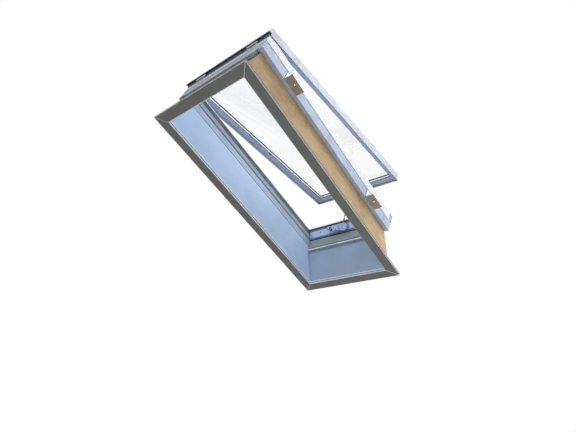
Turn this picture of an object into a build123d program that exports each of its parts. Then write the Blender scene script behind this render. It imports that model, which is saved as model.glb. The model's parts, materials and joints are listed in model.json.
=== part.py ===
from build123d import *
import os
from math import acos, atan2, cos, degrees, hypot, pi, radians, sin, tan

# An opening roof skylight with its frame, its boarded light well and the casing round the ceiling opening.
# Millimetres. Z = 0 is the room face of the casing, +Z points out through the roof, +Y points up the slope,
# and the origin is the centre of the casing. The sash is drawn closed and then turned open about its hinges.

# Ceiling opening and casing
opening_width = 520.0
opening_length = 1270.0
casing_width = 57.0
casing_thickness = 12.0
casing_easing = 1.5

# Light well
lining_reveal = 3.0
lining_thickness = 15.0
roof_pitch = 33.69
frame_base = 200.0
lining_housing_depth = 8.0
lining_end_gap = 1.5
nosing_height = 26.0
nosing_setback = 2.0
nosing_bulge = 6.0

# Frame members
frame_wall = 39.0
frame_head_wall = 36.0
frame_height = 114.2
sill_setback = 7.333
sill_foot_thickness = 20.0
sill_band_height = 45.4
sill_band_lean = 7.4
sill_slope_drop = 10.2
shadow_groove_depth = 5.0
shadow_groove_height = 7.0
side_groove_rise = 45.0
side_groove_height = 12.0
side_groove_depth = 5.0
seal_height = 32.7
seal_depth = 6.0
sill_seal_overhang = 6.0
cap_thickness = 1.8
cap_nose_height = 6.5
cap_skirt_height = 52.2
bulb_radius = 3.0
bulb_inset = 6.0
bulb_easing = 1.48

# Fixing brackets on the roof deck
bracket_length = 100.0
bracket_thickness = 2.5
bracket_reach = 48.0
bracket_height = 56.0
bracket_inset = 221.0
bracket_bend = 4.0
deck_hole_radius = 3.5
bracket_screw_spacing = 60.0
bracket_screw_height = 33.6
deck_hole_inset = 22.0

# Sash
open_angle = 14.4
sash_lift = 4.0
seal_gap = 0.3
sash_easing = 1.5
sash_lip_thickness = 8.9
sash_section_width = 33.3
sash_side_overhang = 4.2
sash_bottom_overhang = 3.5
sash_side_clearance = 0.2
skirt_depth = 11.2
cover_thickness = 1.5
cover_lap = 1.0
hood_reach = 10.5
hood_drop = 28.0
hood_lip = 6.0
tape_thickness = 3.0
outer_tape_thickness = 1.0
pane_thickness = 4.0
spacer_height = 14.0
spacer_width = 8.0
spacer_inset = 12.0
glass_bite = 16.0
glass_edge_gap = 2.0

# Hinges
hinge_offset = 6.2
knuckle_radius = 5.5
knuckle_side_count = 12
hinge_pin_radius = 2.5
hinge_head_radius = 4.4
hinge_head_height = 2.75
running_clearance = 0.05
knuckle_gap = 0.4
leaf_thickness = 2.2
leaf_width = 70.0
leaf_height = 34.0
middle_knuckle = 30.0
hinge_position = 185.0

# Chain operator, set out on the sloping face of the sill from the line of the chain
operator_x = 11.0
operator_large_x = -1.0
operator_large_s = 28.5
operator_large_radius = 24.5
operator_small_x = -108.0
operator_small_s = 41.0
operator_small_radius = 11.5
base_thickness = 2.5
operator_screw_spots = ((-102.0, 41.5), (-40.0, 26.0), (6.0, 16.0))
housing_depth = 26.0
housing_wall = 2.6
housing_easing = 4.0
shaft_s = 38.5
shaft_n = 12.8
shaft_radius = 3.0
shaft_ends = (-99.0, 14.0)
bearing_positions = (-93.0, 9.0)
bearing_thickness = 4.0
bearing_half_width = 6.6
worm_x = -77.0
worm_offset = 13.0
worm_core_radius = 2.2
worm_crest_radius = 3.1
worm_turns = 5
shaft_end_gap = 1.0
wheel_tip_radius = 9.4
wheel_root_radius = 7.7
wheel_teeth = 16
wheel_width = 7.0
crank_shaft_radius = 3.5
crank_boss_radius = 7.0
crank_boss_height = 5.0
eye_distance = 46.5
eye_outer_radius = 12.0
eye_inner_radius = 7.0
eye_thickness = 5.0
eye_root = 1.0

# Push chain
nominal_pitch = 9.5
sprocket_teeth = 5
sprocket_thickness = 2.4
sprocket_tooth_rise = 1.6
sprocket_root_clearance = 0.4
sprocket_hub_length = 5.76
roller_radius = 2.0
roller_length = 3.2
chain_pin_radius = 1.1
plate_height = 6.0
plate_thickness = 0.8
plate_gap = 0.1
chain_slot = 9.0

# Bracket on the sash that the chain pushes
sash_bracket_reach = 55.0
sash_bracket_rise = 4.5
sash_bracket_thickness = 2.5
sash_bracket_width = 44.0
sash_bracket_root = 9.0
sunk_head_radius = 3.6
sunk_head_depth = 1.6
ear_gap = 9.0
ear_thickness = 2.5
ear_radius = 5.5
bracket_pin_radius = 2.0
bracket_pin_head_radius = 3.2
bracket_pin_head_height = 1.2
corner_cut_share = 0.6

# Screws
screw_head_radius = 4.5
screw_head_height = 2.4
screw_shank_radius = 2.0
screw_length = 18.0
short_screw_length = 10.0
sill_screw_x = 174.0
sill_screw_s = 37.0

# Planes of the opening worked out from the sizes above
half_well = opening_width / 2 - lining_reveal
well_head_y = opening_length / 2 - lining_reveal
plumb = tan(radians(roof_pitch))
plumb_thickness = lining_thickness / cos(radians(roof_pitch))
frame_head_outer = well_head_y + frame_head_wall
sill_foot_y = (frame_base - casing_thickness) * plumb - well_head_y - sill_setback
frame_sill_outer = sill_foot_y - sill_foot_thickness
frame_top = frame_base + frame_height
cap_top = frame_top + cap_thickness
cap_skirt_bottom = frame_top - cap_skirt_height
seal_bottom = frame_top - seal_height
side_groove_bottom = frame_base + side_groove_rise
side_groove_top = side_groove_bottom + side_groove_height
sill_band_top = frame_base + sill_band_height
sill_slope_top = frame_top - sill_slope_drop
sill_slope_foot_y = sill_foot_y + sill_band_lean
sill_slope_foot_z = sill_band_top + shadow_groove_height
sill_slope_top_y = sill_slope_foot_y + (sill_slope_top - sill_slope_foot_z) * plumb
sill_nose_y = sill_slope_top_y + sill_seal_overhang
cap_sill_outer = frame_sill_outer - cap_thickness
cap_head_outer = frame_head_outer + cap_thickness

# Planes of the closed sash
sash_underside = cap_top + sash_lift
skirt_bottom = cap_top - skirt_depth
sash_half_width = half_well + frame_wall + cap_thickness + sash_side_overhang
sash_bottom_y = cap_sill_outer - sash_bottom_overhang
sash_outer = sash_half_width - cover_thickness - sash_side_clearance
sash_lip = sash_outer - sash_section_width
sash_bottom_outer = sash_bottom_y + cover_thickness + sash_side_clearance
sash_bottom_lip = sash_bottom_outer + sash_section_width
sash_head_outer = cap_head_outer
sash_head_lip = sash_head_outer - sash_section_width
glass_bottom = sash_underside + sash_lip_thickness + tape_thickness
spacer_bottom = glass_bottom + pane_thickness
outer_pane_bottom = spacer_bottom + spacer_height
glass_top = outer_pane_bottom + pane_thickness
cover_bottom = glass_top + outer_tape_thickness
cover_top = cover_bottom + cover_thickness
hinge_y = cap_head_outer + hinge_offset
hinge_height = (cap_top + sash_underside) / 2
hinge_axis = Axis((0, hinge_y, hinge_height), (1, 0, 0))
sash_bracket_y = sill_foot_y + sash_bracket_reach
sash_bracket_root_y = sill_foot_y - sash_bracket_root
sash_bracket_z = sash_underside + sash_bracket_rise

# A plane on the sloping face of the sill: local x runs to the right as seen from the room,
# local y climbs the slope and local z stands out into the opening
slope_up = Vector(0, sin(radians(roof_pitch)), cos(radians(roof_pitch)))
slope_out = Vector(0, cos(radians(roof_pitch)), -sin(radians(roof_pitch)))
slope_foot = Vector(-operator_x, sill_slope_foot_y, sill_slope_foot_z)
slope_plane = Plane(origin=slope_foot, x_dir=(-1, 0, 0), z_dir=slope_out)


def closed_face(points):
    """A flat face with straight sides through the points."""
    return make_face(Polyline(*points, close=True))


def on_slope(x, s, n):
    """A plane parallel to the sill's sloping face through the local point (x, s, n)."""
    return Plane(slope_plane * Pos(x, s, n))


def end_bar(points, x_from, x_to):
    """A bar along X whose section is given as (y, z) points."""
    plane = Plane(origin=(x_from, 0, 0), x_dir=(0, 1, 0), z_dir=(1, 0, 0))
    return extrude(plane * closed_face(points), amount=x_to - x_from)


def side_bar(points, y_from, y_to):
    """A bar along Y whose section is given as (x, z) points."""
    plane = Plane(origin=(0, y_to, 0), x_dir=(1, 0, 0), z_dir=(0, -1, 0))
    return extrude(plane * closed_face(points), amount=y_to - y_from)


def sector(side, inner, outer):
    """A tall wedge that cuts one mitred member out of a ring between two rectangles.

    A rectangle is given as (half width, low y, high y). The mitres run at 45 degrees from the inner
    corners until they meet an outer edge.
    """
    inner_x, inner_low, inner_high = inner
    outer_x, outer_low, outer_high = outer
    low_run = min(outer_x - inner_x, inner_low - outer_low)
    high_run = min(outer_x - inner_x, outer_high - inner_high)
    low_x, low_y = inner_x + low_run, inner_low - low_run
    high_x, high_y = inner_x + high_run, inner_high + high_run
    outlines = {
        "left": [(inner_x, inner_low), (low_x, low_y), (outer_x, low_y),
                 (outer_x, high_y), (high_x, high_y), (inner_x, inner_high)],
        "head": [(-inner_x, inner_high), (-high_x, high_y), (-high_x, outer_high),
                 (high_x, outer_high), (high_x, high_y), (inner_x, inner_high)],
        "sill": [(-inner_x, inner_low), (-low_x, low_y), (-low_x, outer_low),
                 (low_x, outer_low), (low_x, low_y), (inner_x, inner_low)],
    }
    outlines["right"] = [(-x, y) for x, y in outlines["left"]]
    outline = outlines[side]
    corners = [point for index, point in enumerate(outline) if point != outline[index - 1]]
    return extrude(closed_face(corners), amount=cover_top + frame_top)


def mitred_member(side, section, inner, outer):
    """One member of a mitred ring; its section is (distance outwards from the inner edge, z) points."""
    half_x, low_y, high_y = inner
    if side == "left":
        bar = side_bar([(half_x + d, z) for d, z in section], outer[1], outer[2])
    elif side == "right":
        bar = side_bar([(-half_x - d, z) for d, z in section], outer[1], outer[2])
    elif side == "head":
        bar = end_bar([(high_y + d, z) for d, z in section], -outer[0], outer[0])
    else:
        bar = end_bar([(low_y - d, z) for d, z in section], -outer[0], outer[0])
    return bar & sector(side, inner, outer)


def flat_ring(outer, inner, z_from, height):
    """A flat rectangular ring between two (half width, low y, high y) rectangles."""
    def sheet(rectangle):
        half_x, low_y, high_y = rectangle
        return closed_face([(-half_x, low_y), (half_x, low_y), (half_x, high_y), (-half_x, high_y)])
    return extrude(Plane.XY.offset(z_from) * (sheet(outer) - sheet(inner)), amount=height)


def hexagon(radius):
    """A six-sided outline whose corners lie on the radius."""
    return RegularPolygon(radius, 6)


def screw(plane, length=screw_length):
    """A hexagon-head screw whose head sits on the plane and whose shank goes in behind it."""
    return extrude(plane * hexagon(screw_head_radius), amount=screw_head_height) + screw_hole(plane, length)


def screw_hole(plane, length=screw_length):
    """The shank of a screw, which is also the hole that it fills."""
    return extrude(plane * hexagon(screw_shank_radius), amount=-length)


def sunk_screw(plane):
    """A countersunk screw whose head is flush with the plane."""
    inwards = Plane(origin=plane.origin, x_dir=plane.x_dir, z_dir=-plane.z_dir)
    flat_to_flat = (sunk_head_radius - screw_shank_radius) * cos(pi / 6)
    head = extrude(inwards * hexagon(sunk_head_radius), amount=sunk_head_depth,
                   taper=degrees(atan2(flat_to_flat, sunk_head_depth)))
    return head + screw_hole(plane, short_screw_length)


def opened(piece):
    """A piece of the closed sash, turned open about the hinges."""
    return piece.rotate(hinge_axis, -open_angle)


# Room side: casing, linings and nosing

def casing_board(side):
    """A flat casing board with eased edges, mitred at both ends."""
    section = [
        (0, casing_thickness),
        (0, casing_easing),
        (casing_easing, 0),
        (casing_width - casing_easing, 0),
        (casing_width, casing_easing),
        (casing_width, casing_thickness),
    ]
    inner = (opening_width / 2, -opening_length / 2, opening_length / 2)
    outer = (inner[0] + casing_width, inner[1] - casing_width, inner[2] + casing_width)
    return mitred_member(side, section, inner, outer)


def sill_lining_y(z):
    """The room face of the plumb lower board at height z."""
    return -well_head_y + (z - casing_thickness) * plumb


def lining_side(sign):
    """A side board of the light well, cut to the plumb line at its lower end."""
    top = frame_base + lining_housing_depth - lining_end_gap
    outline = [
        (sill_lining_y(casing_thickness) - plumb_thickness, casing_thickness),
        (well_head_y + lining_thickness, casing_thickness),
        (well_head_y + lining_thickness, top),
        (sill_lining_y(frame_base) - plumb_thickness, top),
        (sill_lining_y(frame_base) - plumb_thickness, frame_base),
    ]
    near = half_well if sign > 0 else -half_well - lining_thickness
    return end_bar(outline, near, near + lining_thickness)


def lining_head():
    """The upper board of the light well, square to the ceiling."""
    outline = [
        (well_head_y, casing_thickness),
        (well_head_y + lining_thickness, casing_thickness),
        (well_head_y + lining_thickness, frame_base + lining_housing_depth - lining_end_gap),
        (well_head_y, frame_base + lining_housing_depth - lining_end_gap),
    ]
    return end_bar(outline, -half_well, half_well)


def lining_sill():
    """The plumb lower board of the light well."""
    top = frame_base - nosing_height
    outline = [
        (sill_lining_y(casing_thickness), casing_thickness),
        (sill_lining_y(top), top),
        (sill_lining_y(top) - plumb_thickness, top),
        (sill_lining_y(casing_thickness) - plumb_thickness, casing_thickness),
    ]
    return end_bar(outline, -half_well, half_well)


def sill_nosing():
    """A rounded moulding between the lower board and the foot of the frame."""
    bottom = frame_base - nosing_height
    bottom_y = sill_lining_y(bottom) - nosing_setback
    top_y = sill_foot_y - nosing_setback
    middle = ((bottom_y + top_y) / 2 + nosing_bulge, frame_base - nosing_height / 2)
    back_y = sill_lining_y(bottom) - plumb_thickness
    front = ThreePointArc((bottom_y, bottom), middle, (top_y, frame_base))
    back = Polyline((top_y, frame_base), (back_y, frame_base), (back_y, bottom), (bottom_y, bottom))
    plane = Plane(origin=(-half_well, 0, 0), x_dir=(0, 1, 0), z_dir=(1, 0, 0))
    return extrude(plane * make_face(front + back), amount=2 * half_well)


# Frame

def jamb_section(wall):
    """Section of a side or head member as (distance outwards from the opening, z) points."""
    return [
        (0, frame_base + lining_housing_depth),
        (lining_thickness, frame_base + lining_housing_depth),
        (lining_thickness, frame_base),
        (wall, frame_base),
        (wall, frame_top),
        (seal_depth, frame_top),
        (seal_depth, seal_bottom),
        (0, seal_bottom),
        (0, side_groove_top),
        (side_groove_depth, side_groove_bottom),
        (0, side_groove_bottom),
    ]


def bracket_centres():
    """The (side, y) of each of the four fixing brackets."""
    upper = frame_head_outer - bracket_inset
    lower = frame_sill_outer + bracket_inset
    return {
        "upper_left": (1, upper),
        "lower_left": (1, lower),
        "upper_right": (-1, upper),
        "lower_right": (-1, lower),
    }


def bracket_screw_planes(sign, y):
    """Planes of the two screws that hold a fixing bracket to the frame."""
    x = sign * (half_well + frame_wall + bracket_thickness)
    z = frame_base + bracket_screw_height
    return [
        Plane(origin=(x, y + step, z), x_dir=(0, 1, 0), z_dir=(sign, 0, 0))
        for step in (-bracket_screw_spacing / 2, bracket_screw_spacing / 2)
    ]


def frame_side(sign):
    """A side member, full length, with its lining groove, shadow groove and seal rebate."""
    points = [(sign * (half_well + d), z) for d, z in jamb_section(frame_wall)]
    member = side_bar(points, frame_sill_outer, frame_head_outer)
    for side, y in bracket_centres().values():
        if side == sign:
            for plane in bracket_screw_planes(sign, y):
                member -= screw_hole(plane)
    return member


def frame_head():
    """The head member between the side members."""
    points = [(well_head_y + d, z) for d, z in jamb_section(frame_head_wall)]
    member = end_bar(points, -half_well, half_well)
    for plane in hinge_screw_planes("frame"):
        member -= screw_hole(plane)
    return member


def frame_sill():
    """The sill member: a lower band, a shadow groove and a plumb upper face."""
    seal_back = sill_nose_y - 2 * seal_depth
    outline = [
        (frame_sill_outer, frame_base),
        (sill_foot_y, frame_base),
        (sill_slope_foot_y, sill_band_top),
        (sill_slope_foot_y - shadow_groove_depth, sill_band_top),
        (sill_slope_foot_y - shadow_groove_depth, sill_slope_foot_z),
        (sill_slope_foot_y, sill_slope_foot_z),
        (sill_slope_top_y, sill_slope_top),
        (seal_back, sill_slope_top),
        (seal_back, frame_top),
        (frame_sill_outer, frame_top),
    ]
    member = end_bar(outline, -half_well, half_well)
    for plane in operator_screw_planes():
        member -= screw_hole(plane)
    for plane in sill_screw_planes():
        member -= screw_hole(plane)
    return member


def jamb_seal_section():
    """Section of the dark strip in the rebate of a side or head member."""
    nose_bottom = cap_top - cap_nose_height
    return [(0, seal_bottom), (seal_depth, seal_bottom), (seal_depth, nose_bottom), (0, nose_bottom)]


def frame_seal_side(sign):
    """The dark strip along the upper inner edge of a side member."""
    points = [(sign * (half_well + d), z) for d, z in jamb_seal_section()]
    return side_bar(points, sill_nose_y, well_head_y)


def frame_seal_head():
    """The dark strip along the head member."""
    return end_bar([(well_head_y + d, z) for d, z in jamb_seal_section()], -half_well, half_well)


def frame_seal_sill():
    """The low dark strip along the sill, which stands out past the plumb face."""
    nose_bottom = cap_top - cap_nose_height
    seal_back = sill_nose_y - 2 * seal_depth
    outline = [
        (sill_nose_y, sill_slope_top),
        (sill_nose_y, nose_bottom),
        (sill_nose_y - seal_depth, nose_bottom),
        (sill_nose_y - seal_depth, frame_top),
        (seal_back, frame_top),
        (seal_back, sill_slope_top),
    ]
    return end_bar(outline, -half_well, half_well)


def frame_cap(side):
    """An aluminium cap over the top of a frame member, with a nose inside and a skirt outside."""
    inner = (half_well, sill_nose_y, well_head_y)
    outer = (half_well + frame_wall + cap_thickness, cap_sill_outer, cap_head_outer)
    width = {
        "left": outer[0] - inner[0],
        "right": outer[0] - inner[0],
        "head": outer[2] - inner[2],
        "sill": inner[1] - outer[1],
    }[side]
    nose_bottom = cap_top - cap_nose_height
    section = [
        (0, nose_bottom),
        (0, cap_top),
        (width, cap_top),
        (width, cap_skirt_bottom),
        (width - cap_thickness, cap_skirt_bottom),
        (width - cap_thickness, frame_top),
        (seal_depth, frame_top),
        (seal_depth, nose_bottom),
    ]
    cap = mitred_member(side, section, inner, outer)
    if side == "head":
        for plane in hinge_screw_planes("frame"):
            cap -= screw_hole(plane)
    return cap


def bulb_seal():
    """The soft ring on the caps that the closed sash comes down on."""
    lift = sash_lift - seal_gap
    outer = (
        half_well + frame_wall - bulb_inset + bulb_radius,
        frame_sill_outer + bulb_inset - bulb_radius,
        frame_head_outer - bulb_inset + bulb_radius,
    )
    inner = (outer[0] - 2 * bulb_radius, outer[1] + 2 * bulb_radius, outer[2] - 2 * bulb_radius)
    ring = flat_ring(outer, inner, cap_top, lift)
    return chamfer(ring.faces().sort_by(Axis.Z)[-1].edges(), bulb_easing)


def fixing_bracket(sign, y):
    """A bent angle screwed to the side of the frame, with a hole for the roof deck."""
    inside = half_well + frame_wall
    section = [
        (inside, frame_base),
        (inside + bracket_reach, frame_base),
        (inside + bracket_reach, frame_base + bracket_thickness),
        (inside + bracket_thickness, frame_base + bracket_thickness),
        (inside + bracket_thickness, frame_base + bracket_height),
        (inside, frame_base + bracket_height),
    ]
    points = [(sign * x, z) for x, z in section]
    angle = side_bar(points, y - bracket_length / 2, y + bracket_length / 2)
    bends = [
        edge for edge in angle.edges().filter_by(Axis.Y)
        if abs(abs(edge.center().X) - inside - bracket_thickness) < 0.01
        and abs(edge.center().Z - frame_base - bracket_thickness) < 0.01
    ]
    angle = chamfer(bends, bracket_bend)
    hole_x = sign * (inside + bracket_reach - deck_hole_inset)
    hole = Plane.XY.offset(frame_base) * Pos(hole_x, y) * Circle(deck_hole_radius)
    angle -= extrude(hole, amount=bracket_height)
    for plane in bracket_screw_planes(sign, y):
        angle -= screw_hole(plane)
    return angle


def bracket_screws():
    """The screws of all four fixing brackets."""
    return [
        screw(plane)
        for sign, y in bracket_centres().values()
        for plane in bracket_screw_planes(sign, y)
    ]


def sill_screw_planes():
    """Planes of the two lone screws on the plumb face of the sill."""
    return [on_slope(x - operator_x, sill_screw_s, 0) for x in (-sill_screw_x, sill_screw_x)]


# Sash, drawn closed

def sash_member(side):
    """A stile or rail: a thin lip under the glass and a solid part outside it, mitred at both ends."""
    inner = (sash_lip, sash_bottom_lip, sash_head_lip)
    outer = (sash_outer, sash_bottom_outer, sash_head_outer)
    shoulder = glass_bite + glass_edge_gap
    lip_top = sash_underside + sash_lip_thickness
    section = [
        (0, sash_underside + sash_easing),
        (sash_easing, sash_underside),
        (sash_section_width, sash_underside),
        (sash_section_width, cover_bottom),
        (shoulder, cover_bottom),
        (shoulder, lip_top),
        (0, lip_top),
    ]
    member = mitred_member(side, section, inner, outer)
    if side == "head":
        for plane in hinge_screw_planes("sash"):
            member -= screw_hole(plane)
    if side == "sill":
        for plane in sash_bracket_screw_planes():
            member -= sunk_screw(plane)
    return member


def cover_ring():
    """The inner and outer rectangles of the mitred covers."""
    inner = (sash_lip + cover_lap, sash_bottom_lip - cover_lap, sash_head_lip + cover_lap)
    return inner, (sash_half_width, sash_bottom_y, inner[2] + sash_half_width - inner[0])


def sash_cover(side):
    """A flat aluminium cover over a stile or the bottom rail, with a skirt outside the frame."""
    inner, outer = cover_ring()
    width = sash_half_width - inner[0]
    section = [
        (0, cover_bottom),
        (0, cover_top),
        (width, cover_top),
        (width, skirt_bottom),
        (width - cover_thickness, skirt_bottom),
        (width - cover_thickness, cover_bottom),
    ]
    return mitred_member(side, section, inner, outer)


def sash_hood():
    """The cover of the head rail: it bends down over the hinges and closes at both ends."""
    inner, outer = cover_ring()
    width = outer[2] - inner[2]
    flat = mitred_member("head", [(0, cover_bottom), (0, cover_top), (width, cover_top), (width, cover_bottom)],
                         inner, outer)
    edge = hinge_y + hood_reach
    inner_bend = sash_head_outer + leaf_thickness + sash_side_clearance
    slope = atan2(hood_drop, edge - cover_thickness - inner_bend)
    outer_bend = inner_bend + cover_thickness * tan(slope / 2)
    inner_edge_z = cover_bottom - hood_drop
    outer_edge_z = inner_edge_z + cover_thickness * tan((pi / 2 - slope) / 2)
    lip_z = inner_edge_z - hood_lip
    over = [(outer[2], cover_top), (outer_bend, cover_top), (edge, outer_edge_z), (edge, lip_z)]
    under = [(edge - cover_thickness, lip_z), (edge - cover_thickness, inner_edge_z)]
    under += [(inner_bend, cover_bottom), (outer[2], cover_bottom)]
    hood = flat + end_bar(over + under, -sash_half_width, sash_half_width)
    for low in (-sash_half_width, sash_half_width - cover_thickness):
        hood += end_bar(over + [(outer[2], lip_z)], low, low + cover_thickness)
    return hood


def glass_rectangle(inset=0.0):
    """The edge of the sealed unit, or a line that lies inside it."""
    return (
        sash_lip + glass_bite - inset,
        sash_bottom_lip - glass_bite + inset,
        sash_head_lip + glass_bite - inset,
    )


def pane(z):
    """One sheet of glass."""
    half_x, low_y, high_y = glass_rectangle()
    sheet = closed_face([(-half_x, low_y), (half_x, low_y), (half_x, high_y), (-half_x, high_y)])
    return extrude(Plane.XY.offset(z) * sheet, amount=pane_thickness)


def glass_spacer():
    """The bar between the two panes."""
    inset = spacer_inset - spacer_width
    return flat_ring(glass_rectangle(inset), glass_rectangle(inset + spacer_width), spacer_bottom, spacer_height)


def glazing_tape(z, height):
    """A flat tape under or over the glass."""
    return flat_ring(glass_rectangle(), glass_rectangle(glass_bite - cover_lap), z, height)


# Hinges

def hinge_leaf(centre_x, body):
    """A leaf with its knuckles: two on the frame's leaf and one, between them, on the sash's leaf."""
    half = leaf_width / 2
    inner_half = middle_knuckle / 2
    swing_gap = knuckle_radius + knuckle_gap
    if body == "frame":
        spans = [(-half, -inner_half - knuckle_gap / 2), (inner_half + knuckle_gap / 2, half)]
        plate_z = (hinge_height - leaf_height, hinge_height - swing_gap)
    else:
        spans = [(-inner_half + knuckle_gap / 2, inner_half - knuckle_gap / 2)]
        plate_z = (hinge_height + swing_gap, hinge_height + leaf_height)
    plate_y = (cap_head_outer, cap_head_outer + leaf_thickness)
    outline = [
        (plate_y[0], plate_z[0]),
        (plate_y[1], plate_z[0]),
        (plate_y[1], plate_z[1]),
        (plate_y[0], plate_z[1]),
    ]
    leaf = end_bar(outline, centre_x - half, centre_x + half)
    neck_z = plate_z[1] if body == "frame" else plate_z[0]
    for low, high in spans:
        neck = [
            (hinge_y - knuckle_radius, neck_z),
            (plate_y[1], neck_z),
            (plate_y[1], hinge_height),
            (hinge_y - knuckle_radius, hinge_height),
        ]
        leaf += end_bar(neck, centre_x + low, centre_x + high)
        plane = Plane(origin=(centre_x + low, hinge_y, hinge_height), x_dir=(0, 1, 0), z_dir=(1, 0, 0))
        leaf += extrude(plane * RegularPolygon(knuckle_radius, knuckle_side_count), amount=high - low)
    bore = Plane(origin=(centre_x - half, hinge_y, hinge_height), x_dir=(0, 1, 0), z_dir=(1, 0, 0))
    leaf -= extrude(bore * Circle(hinge_pin_radius + running_clearance), amount=leaf_width)
    for plane in leaf_screw_planes(centre_x, body):
        leaf -= screw_hole(plane)
    return leaf


def leaf_screw_planes(centre_x, body):
    """Planes of the two screws in a hinge leaf."""
    drop = (knuckle_radius + leaf_height) / 2
    z = hinge_height - drop if body == "frame" else hinge_height + drop
    y = cap_head_outer + leaf_thickness
    step = leaf_width / 2 - 3 * screw_head_radius / 2
    return [
        Plane(origin=(centre_x + shift, y, z), x_dir=(1, 0, 0), z_dir=(0, 1, 0))
        for shift in (-step, step)
    ]


def hinge_screw_planes(body):
    """Planes of the screws of both hinges on one body."""
    return leaf_screw_planes(hinge_position, body) + leaf_screw_planes(-hinge_position, body)


def hinge_pin(centre_x):
    """A hinge pin with a flat head."""
    start = centre_x - leaf_width / 2
    plane = Plane(origin=(start, hinge_y, hinge_height), x_dir=(0, 1, 0), z_dir=(1, 0, 0))
    shank = extrude(plane * Circle(hinge_pin_radius), amount=leaf_width)
    head = extrude(plane * hexagon(hinge_head_radius), amount=-hinge_head_height)
    return shank + head


# Chain operator on the sill

def operator_outline(grow=0.0):
    """The tear-drop outline of the operator, with a bulge round the worm; its rounds are made of short flats."""
    large = Pos(operator_large_x, operator_large_s) * RegularPolygon(operator_large_radius + grow, 48)
    small = Pos(operator_small_x, operator_small_s) * RegularPolygon(operator_small_radius + grow, 24)
    bulge = Pos(worm_x, shaft_s - worm_offset) * RegularPolygon(crank_boss_radius + grow, 24)
    return make_hull(large.edges() + small.edges()) + bulge


def operator_screw_planes():
    """Planes of the screws that hold the operator's base to the sill, under the housing."""
    return [on_slope(x, s, base_thickness) for x, s in operator_screw_spots]


def operator_base():
    """The flat base between the sill and the housing."""
    base = extrude(slope_plane * operator_outline(), amount=base_thickness)
    for plane in operator_screw_planes():
        base -= screw_hole(plane)
    return base


def along_shaft(x):
    """A plane square to the operator's shaft, with its origin on the shaft's axis at local x."""
    origin = slope_plane.from_local_coords(Vector(x, shaft_s, shaft_n))
    return Plane(origin=origin, x_dir=slope_up, z_dir=slope_plane.x_dir)


def worm_plane(n):
    """A plane square to the worm's axis at distance n out from the sill."""
    origin = slope_plane.from_local_coords(Vector(worm_x, shaft_s - worm_offset, n))
    return Plane(origin=origin, x_dir=slope_plane.x_dir, z_dir=slope_out)


def bearing_rib(x):
    """A rib inside the housing that carries the drive shaft."""
    low = slope_plane.from_local_coords(Vector(x, shaft_s, base_thickness))
    foot = Plane(origin=low, x_dir=slope_plane.x_dir, z_dir=slope_out)
    rib = foot * Rectangle(bearing_thickness, 2 * bearing_half_width)
    rib = extrude(rib, amount=housing_depth - housing_wall - base_thickness)
    bore = along_shaft(x - bearing_thickness) * Circle(shaft_radius + running_clearance)
    return rib - extrude(bore, amount=2 * bearing_thickness)


def operator_housing():
    """A die-cast cover with a boss for the worm, shaft bearings inside and a slot for the chain."""
    base_level = slope_plane.offset(base_thickness)
    outline = base_level * operator_outline()
    shell = extrude(outline, amount=housing_depth - base_thickness)
    front = shell.faces().sort_by(Axis(slope_foot, slope_out))[-1]
    shell = chamfer(front.edges(), housing_easing)
    cavity = base_level * operator_outline(-housing_wall)
    shell -= extrude(cavity, amount=housing_depth - base_thickness - housing_wall)
    for x in bearing_positions:
        shell += bearing_rib(x)
    boss = worm_plane(housing_depth - housing_wall) * Circle(crank_boss_radius)
    shell += extrude(boss, amount=housing_wall + crank_boss_height)
    bore = worm_plane(housing_depth / 2) * Circle(crank_shaft_radius + running_clearance)
    shell -= extrude(bore, amount=housing_depth)
    start = chain_joint(0.5)
    slot_plane = Plane(origin=start, x_dir=(1, 0, 0), z_dir=chain_direction)
    shell -= extrude(slot_plane * Rectangle(chain_slot, chain_slot), amount=chain_slot * 4)
    return shell


def drive_shaft():
    """The shaft that carries the sprocket and the worm wheel."""
    low, high = shaft_ends
    return extrude(along_shaft(low) * Circle(shaft_radius), amount=high - low)


def chain_sprocket():
    """The sprocket: straight-flanked teeth on a hub, with a gap where the first link leaves it."""
    tip_radius = sprocket_radius + sprocket_tooth_rise
    root_radius = sprocket_radius - roller_radius - sprocket_root_clearance
    outline = []
    for tooth in range(sprocket_teeth):
        start = 2 * pi * tooth / sprocket_teeth
        step = 2 * pi / sprocket_teeth
        for share, radius in ((0.14, root_radius), (0.36, tip_radius), (0.64, tip_radius), (0.86, root_radius)):
            outline.append((radius * cos(start + share * step), radius * sin(start + share * step)))
    plane = Plane(origin=sprocket_centre, x_dir=chain_start - sprocket_centre, z_dir=(1, 0, 0))
    wheel = extrude(plane * closed_face(outline), amount=sprocket_thickness / 2, both=True)
    hub = plane * RegularPolygon(root_radius * 0.9, 10)
    wheel += extrude(hub, amount=sprocket_hub_length / 2, both=True)
    return wheel - extrude(plane * Circle(shaft_radius), amount=sprocket_hub_length, both=True)


def worm_wheel():
    """The toothed wheel that the worm turns."""
    outline = []
    for tooth in range(wheel_teeth):
        start = 2 * pi * tooth / wheel_teeth
        step = 2 * pi / wheel_teeth
        for share, radius in ((0.0, wheel_root_radius), (0.3, wheel_tip_radius), (0.7, wheel_tip_radius)):
            outline.append((radius * cos(start + share * step), radius * sin(start + share * step)))
    disc = closed_face(outline) - Circle(shaft_radius)
    return extrude(along_shaft(worm_x - wheel_width / 2) * disc, amount=wheel_width)


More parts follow.
